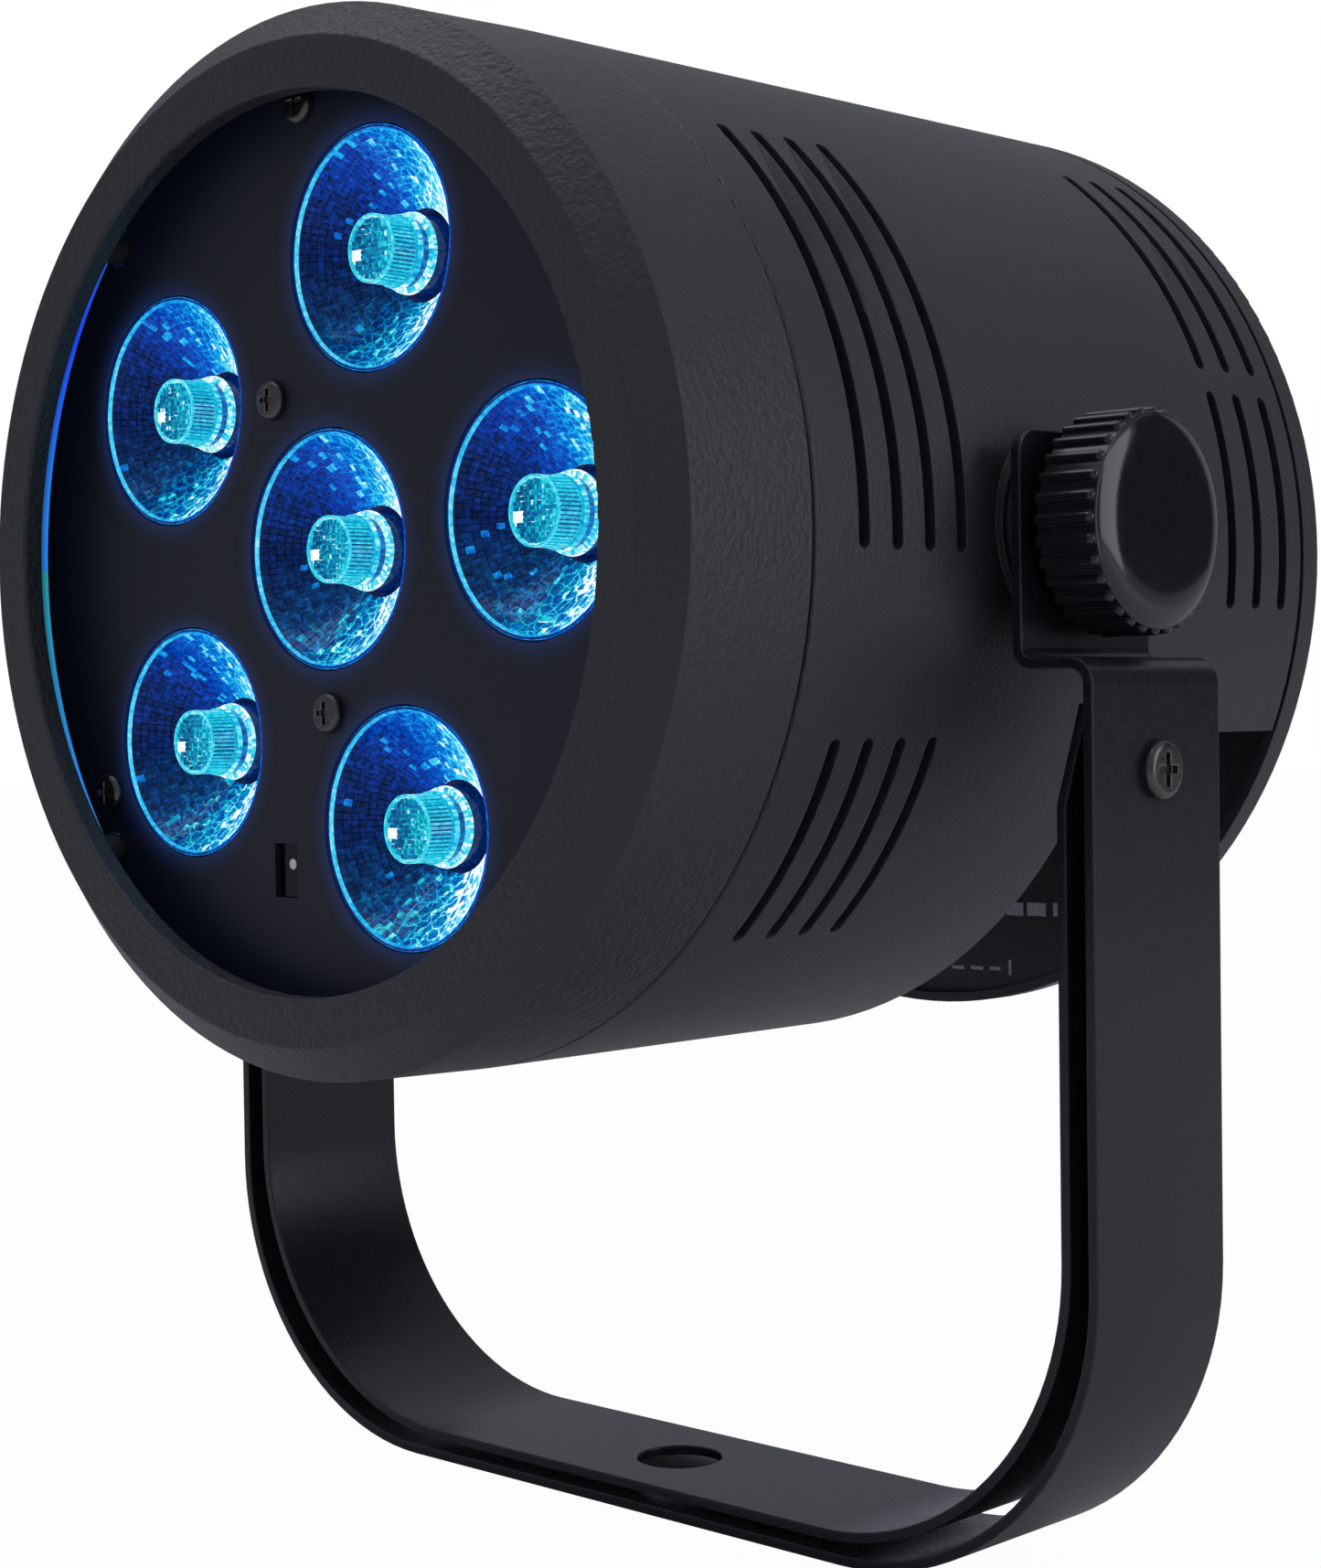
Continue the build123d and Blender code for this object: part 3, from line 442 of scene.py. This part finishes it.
def colour_stops(tree, value, stops):
    """A colour ramp from a list of (place, colour)."""
    node = tree.nodes.new("ShaderNodeValToRGB")
    ramp = node.color_ramp
    while len(ramp.elements) < len(stops):
        ramp.elements.new(0.5)
    for element, (position, colour) in zip(ramp.elements, stops):
        element.position = position
        element.color = (*colour, 1)
    tree.links.new(value, node.inputs[0])
    return node.outputs[0]


bezel_tree, bezel_shader = finishes["bezel"][1:]
wall_radius, wall_depth, wall_angle = polar_place(bezel_tree)
turn_part = remap(bezel_tree, wall_angle, -math.pi, math.pi, 0.0, 1.0)


def turn_of(degrees):
    return (degrees + 180) / 360


DARK = (0.0, 0.0, 0.0)
TEAL = (0.02, 0.30, 0.34)
DEEP_BLUE = (0.01, 0.06, 0.85)
SKY_BLUE = (0.02, 0.22, 0.75)
painted_glow_colour = colour_stops(bezel_tree, turn_part, [
    (turn_of(-180), TEAL), (turn_of(-150), SKY_BLUE), (turn_of(-143), TEAL),
    (turn_of(-141), DARK), (turn_of(-134), DARK), (turn_of(-131), DEEP_BLUE),
    (turn_of(-118), (0.005, 0.02, 0.2)), (turn_of(-60), (0.005, 0.03, 0.12)),
    (turn_of(0), (0.01, 0.10, 0.16)), (turn_of(70), (0.005, 0.05, 0.12)),
    (turn_of(118), (0.01, 0.12, 0.14)), (turn_of(130), TEAL), (turn_of(133), DARK),
    (turn_of(137), (0.01, 0.12, 0.7)), (turn_of(150), DEEP_BLUE), (turn_of(172), SKY_BLUE)])
outer = remap(bezel_tree, wall_radius, 0.0680, 0.0686, 0.0, 1.0)
inward = remap(bezel_tree, wall_radius, 0.0692, 0.0694, 1.0, 0.0)
behind = remap(bezel_tree, wall_depth, 0.0078, 0.0092, 0.0, 1.0)
painted_glow_mask = sums(bezel_tree, "MULTIPLY", sums(bezel_tree, "MULTIPLY", outer, inward), behind)
# Painted light: the wall's emission carries the leaked glow and the bosses' painted shade.
bezel_tree.links.new(tint(bezel_tree, painted_glow_mask, DARK, painted_glow_colour), bezel_shader.inputs["Emission Color"])
bezel_shader.inputs["Emission Strength"].default_value = 1.0

# %% [markdown]
# ## A blue halo round each lens on the plate
# The plate is matt, so it would catch a little of the light that leaves each lens rim. Here that
# light is a painted halo in the plate's emission, strongest at the rim and gone four millimetres
# further out.

# %% Painted halo on the plate
plate_tree, plate_shader = finishes["plate"][1:]
plate_place = plate_tree.nodes.new("ShaderNodeTexCoord")
nearest = None
for number, (x, z) in lens_centres.items():
    gap = plate_tree.nodes.new("ShaderNodeVectorMath")
    gap.operation = "DISTANCE"
    gap.inputs[1].default_value = (x, PLATE_Y, z)
    plate_tree.links.new(plate_place.outputs["Object"], gap.inputs[0])
    away = gap.outputs["Value"]
    nearest = away if nearest is None else sums(plate_tree, "MINIMUM", nearest, away)
near = remap(plate_tree, nearest, 0.0165, 0.0205, 1.0, 0.0)
halo = sums(plate_tree, "POWER", near, 2.2)
# Painted light: the halo, over a faint painted blue glow on the whole plate, is emission.
plate_tree.links.new(tint(plate_tree, halo, (0.0004, 0.0008, 0.0028), (0.003, 0.011, 0.055)),
                     plate_shader.inputs["Emission Color"])
plate_shader.inputs["Emission Strength"].default_value = 1.0
print("halo round", len(lens_centres), "lenses")

# %% [markdown]
# ## The lit lens
# A real lens is clear acrylic with hundreds of small facets that each throw the light of the
# diode a different way. Tracing that light takes very long, so every facet carries its own
# share of the glow, from a fixed list of random numbers, and the gloss on top is real.

# %% Lens finish
lens_material = bpy.data.materials.new("lit_clear_acrylic")
lens_material.use_nodes = True
lens_tree = lens_material.node_tree
lens_shader = lens_tree.nodes["Principled BSDF"]
share = lens_tree.nodes.new("ShaderNodeAttribute")
share.attribute_name = "facet_light"
green = lens_tree.nodes.new("ShaderNodeAttribute")
green.attribute_name = "green_share"
slant = lens_tree.nodes.new("ShaderNodeLayerWeight")
slant.inputs["Blend"].default_value = 0.5
ripples = lens_tree.nodes.new("ShaderNodeAttribute")
ripples.attribute_name = "ripple_highlight_share"
speckle = noise(lens_tree, 1500, 3.0, 0.65)
drift = noise(lens_tree, 330, 2.0, 0.5)
drifted = lens_tree.nodes.new("ShaderNodeVectorMath")
drifted.operation = "MULTIPLY_ADD"
drifted.inputs[1].default_value = (0.0022, 0.0022, 0.0022)
lens_place = lens_tree.nodes.new("ShaderNodeTexCoord")
lens_tree.links.new(drift.outputs["Color"], drifted.inputs[0])
lens_tree.links.new(lens_place.outputs["Object"], drifted.inputs[2])
cells = lens_tree.nodes.new("ShaderNodeTexVoronoi")
cells.feature = "DISTANCE_TO_EDGE"
cells.inputs["Scale"].default_value = 560
lens_tree.links.new(drifted.outputs[0], cells.inputs["Vector"])
# Painted highlights: bright cell edges, as strong as each face's ripple share.
bright_lines = remap(lens_tree, cells.outputs["Distance"], 0.015, 0.11, 1.0, -0.25)
waves = sums(lens_tree, "MULTIPLY", bright_lines,
             sums(lens_tree, "MULTIPLY", ripples.outputs["Fac"], 0.34))
grazing = remap(lens_tree, slant.outputs["Facing"], 0.15, 0.95, -0.10, 0.30)
mottled = sums(lens_tree, "ADD", share.outputs["Fac"],
               remap(lens_tree, speckle.outputs[0], 0.3, 0.7, -0.10, 0.12))
slanted = sums(lens_tree, "ADD", mottled,
               sums(lens_tree, "MULTIPLY", grazing, share.outputs["Fac"]))
level = sums(lens_tree, "ADD", slanted, waves)
blue_light = colour_stops(lens_tree, level, [
    (0.0, (0.0, 0.001, 0.010)), (0.14, (0.0, 0.008, 0.075)), (0.30, (0.0, 0.035, 0.36)),
    (0.44, (0.0, 0.13, 0.62)), (0.58, (0.004, 0.40, 0.78)), (0.74, (0.10, 0.72, 0.92)),
    (0.90, (1.0, 1.0, 1.0))])
green_light = colour_stops(lens_tree, level, [
    (0.0, (0.0, 0.004, 0.012)), (0.22, (0.0, 0.06, 0.13)), (0.45, (0.0, 0.30, 0.38)),
    (0.68, (0.01, 0.74, 0.70)), (0.92, (0.85, 1.0, 1.0))])
glow = tint(lens_tree, green.outputs["Fac"], blue_light, green_light)
lens_tree.links.new(glow, lens_shader.inputs["Emission Color"])
lens_shader.inputs["Emission Strength"].default_value = 1.05
lens_tree.links.new(tint(lens_tree, speckle.outputs[0], (0.001, 0.008, 0.03), (0.003, 0.02, 0.06)),
                    lens_shader.inputs["Base Color"])
lens_tree.links.new(remap(lens_tree, speckle.outputs[0], 0.3, 0.7, 0.04, 0.13),
                    lens_shader.inputs["Roughness"])
lens_shader.inputs["IOR"].default_value = 1.49
lens_shader.inputs["Specular IOR Level"].default_value = 0.22
ripple = lens_tree.nodes.new("ShaderNodeBump")
ripple.inputs["Strength"].default_value = 0.12
ripple.inputs["Distance"].default_value = 0.0003
lens_tree.links.new(speckle.outputs[0], ripple.inputs["Height"])
lens_tree.links.new(ripple.outputs[0], lens_shader.inputs["Normal"])
finishes["lens_clear"] = (lens_material, lens_tree, lens_shader)

led_material, led_tree, led_shader = finish(
    "lit_diode", (0.6, 0.8, 0.9), (0.9, 0.9, 0.9), 0.3, pits=900, bump=0.03, edge=0.0002)
led_tree.links.new(
    tint(led_tree, noise(led_tree, 700).outputs[0], (0.1, 0.6, 1.0), (0.8, 1.0, 1.0)),
    led_shader.inputs["Emission Color"])
led_shader.inputs["Emission Strength"].default_value = 3.0
finishes["led_lit"] = (led_material, led_tree, led_shader)


# %% [markdown]
# ## Working by hand, in code
# The next helpers do what hands do in edit mode: start from a clean selection, open a mesh,
# pick faces by their place, and turn a profile round an axis.


# %% Hand tools
def only(piece):
    """Selects one object and makes it the active one."""
    if bpy.context.mode != "OBJECT":
        bpy.ops.object.mode_set(mode="OBJECT")
    bpy.ops.object.select_all(action="DESELECT")
    piece.select_set(True)
    bpy.context.view_layer.objects.active = piece


def edit(piece):
    only(piece)
    bpy.ops.object.mode_set(mode="EDIT")
    bpy.ops.mesh.select_mode(type="FACE")


def pick_faces(piece, wanted):
    """In edit mode, selects just the faces for which wanted(centre, normal) is true."""
    mesh = bmesh.from_edit_mesh(piece.data)
    chosen = 0
    for face in mesh.faces:
        face.select_set(False)
    for face in mesh.faces:
        if wanted(face.calc_center_median(), face.normal):
            face.select_set(True)
            chosen += 1
    bmesh.update_edit_mesh(piece.data)
    return chosen


def turned(name, profile, centre, steps):
    """Turns a profile of (radius, depth) in mm round a line along Y through centre (x, z)."""
    x, z = centre
    bpy.ops.object.select_all(action="DESELECT")
    first = profile[0]
    bpy.ops.mesh.primitive_plane_add(
        size=0.001, location=(x + first[0] * MM, FRONT_Y + first[1] * MM, z))
    piece = bpy.context.object
    piece.name = name
    bpy.ops.object.mode_set(mode="EDIT")
    bpy.ops.mesh.select_all(action="SELECT")
    bpy.ops.mesh.merge(type="CENTER")
    bpy.ops.mesh.select_mode(type="VERT")
    for here, there in zip(profile, profile[1:]):
        move = ((there[0] - here[0]) * MM, (there[1] - here[1]) * MM, 0)
        bpy.ops.mesh.extrude_vertices_move(TRANSFORM_OT_translate={"value": move})
    bpy.ops.mesh.select_all(action="SELECT")
    bpy.ops.mesh.spin(steps=steps, angle=2 * math.pi, center=(x, 0, z), axis=(0, 1, 0))
    bpy.ops.mesh.select_all(action="SELECT")
    bpy.ops.mesh.remove_doubles(threshold=2e-6)
    bpy.ops.mesh.normals_make_consistent(inside=False)
    bpy.ops.object.mode_set(mode="OBJECT")
    settle(piece)
    return piece


def settle(piece):
    """Puts the object's place into its mesh, so that the object sits at the origin."""
    only(piece)
    bpy.ops.object.transform_apply(location=True, rotation=True, scale=True)
    return piece


def dress(piece, body, slot_name, material, *stands_for):
    """Gives a finished piece its material and body, and hides the parts it stands for. The slot
    name is not used.
    """
    piece.data.materials.clear()
    piece.data.materials.append(material)
    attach(piece, body)
    if stands_for:
        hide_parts(*stands_for)
    print(piece.name, len(piece.data.polygons), "faces")
    return piece


# %% [markdown]
# ## The lens
# The lens is turned from its profile: a bowl with a post in its middle that rises to the rim.
# The bowl wall is cut into rings of small pillow facets by insetting every face on its own. The
# post gets raised ribs on its side, and a flat front with a grid of tiny square lenses.

# %% Turn one lens
LENS_STEPS = 96
RINGS = 12
rim_depth = (LENS_Y - FRONT_Y) / MM
bowl = []
for i in range(RINGS + 1):
    part = i / RINGS
    bowl.append((15.7 + (6.4 - 15.7) * part, rim_depth + 0.5 + 9.1 * (part ** 0.86)))
lens_profile = (
    [(0.0, rim_depth + 0.55), (4.15, rim_depth + 0.55), (4.3, rim_depth + 0.15),
     (4.65, rim_depth + 0.15), (4.65, rim_depth + 0.45), (4.45, rim_depth + 0.6),
     (4.5, rim_depth + 4.2), (4.95, rim_depth + 4.4), (5.05, rim_depth + 5.2),
     (4.7, rim_depth + 5.4), (4.75, rim_depth + 6.4), (5.5, rim_depth + 6.6),
     (5.6, rim_depth + 7.2), (5.35, rim_depth + 7.4), (5.4, rim_depth + 9.9)]
    + list(reversed(bowl))
    + [(15.85, rim_depth + 0.15), (16.0, rim_depth), (16.3, rim_depth), (16.4, rim_depth + 0.12),
       (16.4, 10.35), (15.6, 10.5), (15.4, 14.0), (14.4, 17.5), (12.2, 20.2), (7.6, 21.4),
       (3.2, 21.4), (3.0, 19.2), (0.0, 18.7)])
lens = turned("faceted_lens_1", lens_profile, lens_centres[1], LENS_STEPS)
print("lens turned:", len(lens.data.polygons), "faces")

# %% Facets, ribs and the grid on the post
cx, cz = lens_centres[1]


def radius_of(place):
    return math.hypot(place.x - cx, place.z - cz) / MM


def depth_of(place):
    return (place.y - FRONT_Y) / MM


def angle_of(place):
    return math.atan2(place.z - cz, place.x - cx)


edit(lens)
facets = pick_faces(lens, lambda c, n: 6.3 < radius_of(c) < 15.7 and n.y < -0.2
                    and depth_of(c) < rim_depth + 9.7)
bpy.ops.mesh.inset(thickness=0.00009, depth=0.00012, use_individual=True)
bpy.ops.object.mode_set(mode="OBJECT")
pillow_mark = lens.data.attributes.new("pillow", "FLOAT", "FACE")
for index, face in enumerate(lens.data.polygons):
    pillow_mark.data[index].value = 1.0 if face.select else 0.0
edit(lens)
ribs = pick_faces(
    lens, lambda c, n: 4.3 < radius_of(c) < 4.6 and rim_depth + 0.7 < depth_of(c) < rim_depth + 4.1
    and int((angle_of(c) + math.pi) / (2 * math.pi) * LENS_STEPS) % 2 == 0)
bpy.ops.mesh.inset(thickness=0.00004, depth=0.00018, use_individual=True)
bpy.ops.object.mode_set(mode="OBJECT")
print("facets:", facets, "ribs:", ribs)

bpy.ops.object.select_all(action="DESELECT")
bpy.ops.mesh.primitive_grid_add(
    x_subdivisions=14, y_subdivisions=14, size=0.0094,
    location=(cx, FRONT_Y + (rim_depth + 0.5) * MM, cz), rotation=(math.pi / 2, 0, 0))
grid = bpy.context.object
grid.name = "post_grid"
settle(grid)
edit(grid)
pick_faces(grid, lambda c, n: radius_of(c) > 3.95)
bpy.ops.mesh.delete(type="FACE")
bpy.ops.mesh.select_all(action="SELECT")
bpy.ops.mesh.extrude_region_move(TRANSFORM_OT_translate={"value": (0, -0.00012, 0)})
pick_faces(grid, lambda c, n: abs(n.y) > 0.9 and depth_of(c) < rim_depth + 0.42)
bpy.ops.mesh.inset(thickness=0.00010, depth=0.00012, use_individual=True)
bpy.ops.mesh.select_all(action="SELECT")
bpy.ops.mesh.normals_make_consistent(inside=False)
bpy.ops.object.mode_set(mode="OBJECT")
bpy.ops.object.select_all(action="DESELECT")
grid.select_set(True)
lens.select_set(True)
bpy.context.view_layer.objects.active = lens
bpy.ops.object.join()
print("lens with its post grid:", len(lens.data.polygons), "faces")

# %% [markdown]
# Each face now gets its share of light. On a real bowl the bright side changes with the place
# one looks from. Here it is painted light, fixed in the faces: the bowl is nearly black on its
# left, and pale with painted white highlight facets on its right, and each post carries one small
# painted highlight. That is right for a view from the right front and only plausible from other
# sides. A seeded draw gives the same lens on every run.


# %% Share out the light
BOWL_LIGHT = [(-180, 0.09), (-150, 0.12), (-125, 0.20), (-90, 0.36), (-60, 0.52), (-30, 0.64),
              (0, 0.62), (35, 0.60), (65, 0.46), (95, 0.35), (120, 0.27), (150, 0.14), (180, 0.09)]


def bowl_light(angle):
    """How strongly the bowl wall glows at an angle in degrees, between the listed ones; the change
    round the bowl is painted light.
    """
    for (here, low), (there, high) in zip(BOWL_LIGHT, BOWL_LIGHT[1:]):
        if here <= angle <= there:
            return low + (high - low) * (angle - here) / (there - here)
    return BOWL_LIGHT[0][1]


def in_place_order(mesh):
    """Face numbers sorted by place, because Blender's own order varies from run to run."""
    def place(index):
        face = mesh.polygons[index]
        numbers = (*face.center, *face.normal, face.area)
        return [round(number * 1e6) for number in numbers]
    return sorted(range(len(mesh.polygons)), key=place)


def share_light(piece, seed):
    """Writes each face's share of the glow, how green it is and how strong its painted ripple
    highlights are.
    """
    draw = random.Random(seed)
    cell_draw = [draw.random() for _ in range(LENS_STEPS * (RINGS + 1))]
    for label in ("facet_light", "green_share", "ripple_highlight_share"):
        piece.data.attributes.new(label, "FLOAT", "FACE")
    layers = piece.data.attributes
    light, hue = layers["facet_light"], layers["green_share"]
    wave, pillow = layers["ripple_highlight_share"], layers["pillow"]
    for index in in_place_order(piece.data):
        face = piece.data.polygons[index]
        r, depth = radius_of(face.center), depth_of(face.center) - rim_depth
        angle = angle_of(face.center)
        side, lift = math.cos(angle), math.sin(angle)
        chance, green_value, wave_value = draw.random(), 0.0, 0.0
        # Painted light: the values below make one side of the rim, bowl and post lighter than the
        # other.
        if depth > 10.4 or (r > 16.38 and depth > 0.6):
            value = 0.06
        elif r > 16.3:
            value = 0.38 + 0.10 * chance + 0.10 * max(0.0, -side)
        elif r > 16.0:
            value = 0.17 + 0.16 * max(0.0, side)
        elif r > 15.72:
            value = 0.42 + 0.32 * max(0.0, -side) + 0.06 * chance
        elif r > 6.3 and depth < 9.7:
            ring = int((15.7 - r) / 9.3 * RINGS)
            step = int((angle + math.pi) / (2 * math.pi) * LENS_STEPS) % LENS_STEPS
            luck = cell_draw[ring * LENS_STEPS + step]
            value = bowl_light(math.degrees(angle)) + 0.10 * (luck - 0.5)
            value += 0.16 * max(0.0, side + 0.15) * max(0.0, (11.5 - r) / 5.0)
            value += 0.14 * max(0.0, lift) * max(0.0, (11.0 - r) / 5.0)
            if pillow.data[index].value < 0.5:
                value += 0.10 if side > -0.2 else -0.02
            if luck > 0.93 and side > -0.6:
                value += 0.22
            if luck < 0.012 and side < -0.2:
                value = 0.46
            # Painted highlights: white facets on the bowl's right, near the post.
            if side > 0.2 and lift < 0.1 and r < 11.5 and luck > 0.55:
                value = 0.97
            wave_value = min(1.0, max(0.10, 0.55 + 0.65 * side - 0.25 * lift))
            green_value = 0.55 * max(0.0, -lift) * (0.4 + luck) * (0.9 - 0.5 * side)
            green_value += 0.35 * max(0.0, lift) * max(0.0, side)
        elif r < 4.2 and depth < 0.6:
            value = 0.20 + 0.34 * chance * chance + 0.22 * max(0.0, (side * r + 2.0) / 6.0)
            green_value = 0.45 + 0.5 * draw.random()
            if chance > 0.97:
                value = 0.78
            # A painted highlight: one small white reflection on the post's front.
            if side * r < -2.3 and abs(lift * r + 0.6) < 0.7:
                value = 0.97
        elif r < 4.9 and depth < 0.62:
            value, green_value = 0.66, 0.45
        elif r < 4.9 and depth < 4.3:
            value, green_value = (0.52 if r > 4.52 else 0.24) + 0.12 * chance, 0.55
        elif r < 5.2 and depth < 5.35:
            value, green_value = 0.52 + 0.30 * chance, 0.35
        elif depth < 6.5:
            value, green_value = 0.24 + 0.22 * chance, 0.4
        elif depth < 7.3:
            value, green_value = 0.62 + 0.3 * chance, 0.3
        elif r < 5.6:
            value = 0.10
        else:
            value = 0.08
        light.data[index].value = max(0.0, min(1.0, value))
        hue.data[index].value = min(1.0, green_value)
        wave.data[index].value = wave_value
    return piece


# %% Six lenses
lens_master = lens.data.copy()
for number, centre in lens_centres.items():
    piece = lens
    if number != 1:
        piece = bpy.data.objects.new(f"faceted_lens_{number}", lens_master.copy())
        bpy.context.scene.collection.objects.link(piece)
    share_light(piece, 40 + number)
    if number != 1:
        move = Vector((centre[0] - cx, 0, centre[1] - cz))
        piece.data.transform(Matrix.Translation(move))
    dress(piece, "head", "lens_clear", lens_material, f"lens_{number}")

# %% [markdown]
# ## Yoke and floor bracket
# Both are bent from flat steel strip and powder coated. The coat rounds the sheared edges, and
# it is those rounded edges that catch the light, so a copy of each strip gets a small bevel.


# %% Rounded strips
def rounded_copy(node, name, width, segments=2):
    """A copy of a part with its coincident points merged and its sharp edges rounded."""
    source = nodes[node]
    piece = bpy.data.objects.new(name, source.data.copy())
    bpy.context.scene.collection.objects.link(piece)
    edit(piece)
    bpy.ops.mesh.select_all(action="SELECT")
    bpy.ops.mesh.remove_doubles(threshold=1e-6)
    bpy.ops.mesh.dissolve_limited(angle_limit=math.radians(0.6))
    bpy.ops.object.mode_set(mode="OBJECT")
    bevel = piece.modifiers.new("rounded_edges", "BEVEL")
    bevel.width = width
    bevel.segments = segments
    bevel.limit_method = "ANGLE"
    bevel.angle_limit = math.radians(50)
    only(piece)
    bpy.ops.object.modifier_apply(modifier=bevel.name)
    bpy.ops.object.shade_smooth_by_angle(angle=math.radians(35))
    flatter = piece.modifiers.new("flat_faces_stay_flat", "WEIGHTED_NORMAL")
    flatter.keep_sharp = True
    bpy.ops.object.modifier_apply(modifier=flatter.name)
    return piece


yoke = rounded_copy("outer_yoke", "powder_coated_yoke", 0.00035)
dress(yoke, "yoke", "yoke_black", finishes["yoke_black"][0], "outer_yoke")
bracket = rounded_copy("floor_bracket", "powder_coated_bracket", 0.00035)
dress(bracket, "bracket", "yoke_black", finishes["yoke_black"][0], "floor_bracket")

# %% [markdown]
# ## Printed marks
# White ink marks the sockets on the forward face of the rear cap, and a white dot marks the
# sensor. The ink could be a painted pattern, but a thin raised film keeps sharp edges at any
# distance. The marks are plain bars and dashes that say nothing.

# %% White ink
white_ink = finish("white_ink", (0.34, 0.35, 0.38), (0.45, 0.45, 0.47), 0.5, pits=3000,
                   bump=0.05, edge=0.0001)[0]


def printed(name, bars, face_y, corner=0.0, look=None):
    """Thin ink bars of (x, z, width, height) in mm on a face square to the lamp axis."""
    bpy.ops.object.select_all(action="DESELECT")
    pieces = []
    for x, z, width, height in bars:
        bpy.ops.mesh.primitive_plane_add(
            size=MM, location=(x * MM, face_y, z * MM), rotation=(math.pi / 2, 0, 0))
        bar = bpy.context.object
        bar.scale = (width, height, 1)
        settle(bar)
        pieces.append(bar)
    bpy.ops.object.select_all(action="DESELECT")
    for bar in pieces:
        bar.select_set(True)
    bpy.context.view_layer.objects.active = pieces[0]
    if len(pieces) > 1:
        bpy.ops.object.join()
    piece = pieces[0]
    piece.name = name
    edit(piece)
    bpy.ops.mesh.select_all(action="SELECT")
    if corner:
        bpy.ops.mesh.bevel(offset=corner * MM, segments=4, affect="VERTICES")
        bpy.ops.mesh.select_all(action="SELECT")
    bpy.ops.mesh.extrude_region_move(TRANSFORM_OT_translate={"value": (0, -0.00004, 0)})
    pick_faces(piece, lambda c, n: c.y < face_y - 0.00003)
    bpy.ops.mesh.inset(thickness=0.00006, depth=0.0)
    bpy.ops.mesh.select_all(action="SELECT")
    bpy.ops.mesh.normals_make_consistent(inside=False)
    bpy.ops.object.mode_set(mode="OBJECT")
    return dress(piece, "head", "overlay", look or white_ink)


CAP_INNER_DEPTH = 141.0
printed("socket_marks",
        [(16.6, 86.3, 3.4, 2.2), (21.0, 86.4, 3.8, 2.2), (25.4, 86.5, 2.0, 2.2),
         (4.5, 75.9, 2.6, 0.6), (8.5, 76.0, 2.6, 0.6), (12.3, 76.1, 2.2, 0.6),
         (15.4, 76.4, 0.6, 2.6)], FRONT_Y + CAP_INNER_DEPTH * MM)
window_low, window_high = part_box("sensor_window")
white_bead = finish("white_bead", (0.66, 0.65, 0.62), (0.8, 0.8, 0.78), 0.4, pits=900,
                    bump=0.05, edge=0.0001)[0]
printed("sensor_dot", [((window_low.x + window_high.x) / 2 / MM + 0.4,
                        window_high.z / MM - 3.9, 1.5, 1.5)], window_low.y, 0.7, white_bead)

# %% [markdown]
# ## Finishes on the parts that keep their shape
# The parts whose drawn shape is right keep it, and take the finish of their slot.

# %% Assign the finishes
own_finish = {"front_bezel": "bezel", "front_plate": "plate"}
slot_of = {part["node"]: part["material_slot"] for part in frame["record"]["subparts"]}
for name, part in nodes.items():
    material = finishes[own_finish.get(name, slot_of[name])][0]
    for index in range(max(1, len(part.material_slots))):
        if part.material_slots:
            part.material_slots[index].material = material
        else:
            part.data.materials.append(material)
print("dressed", len(nodes), "parts")
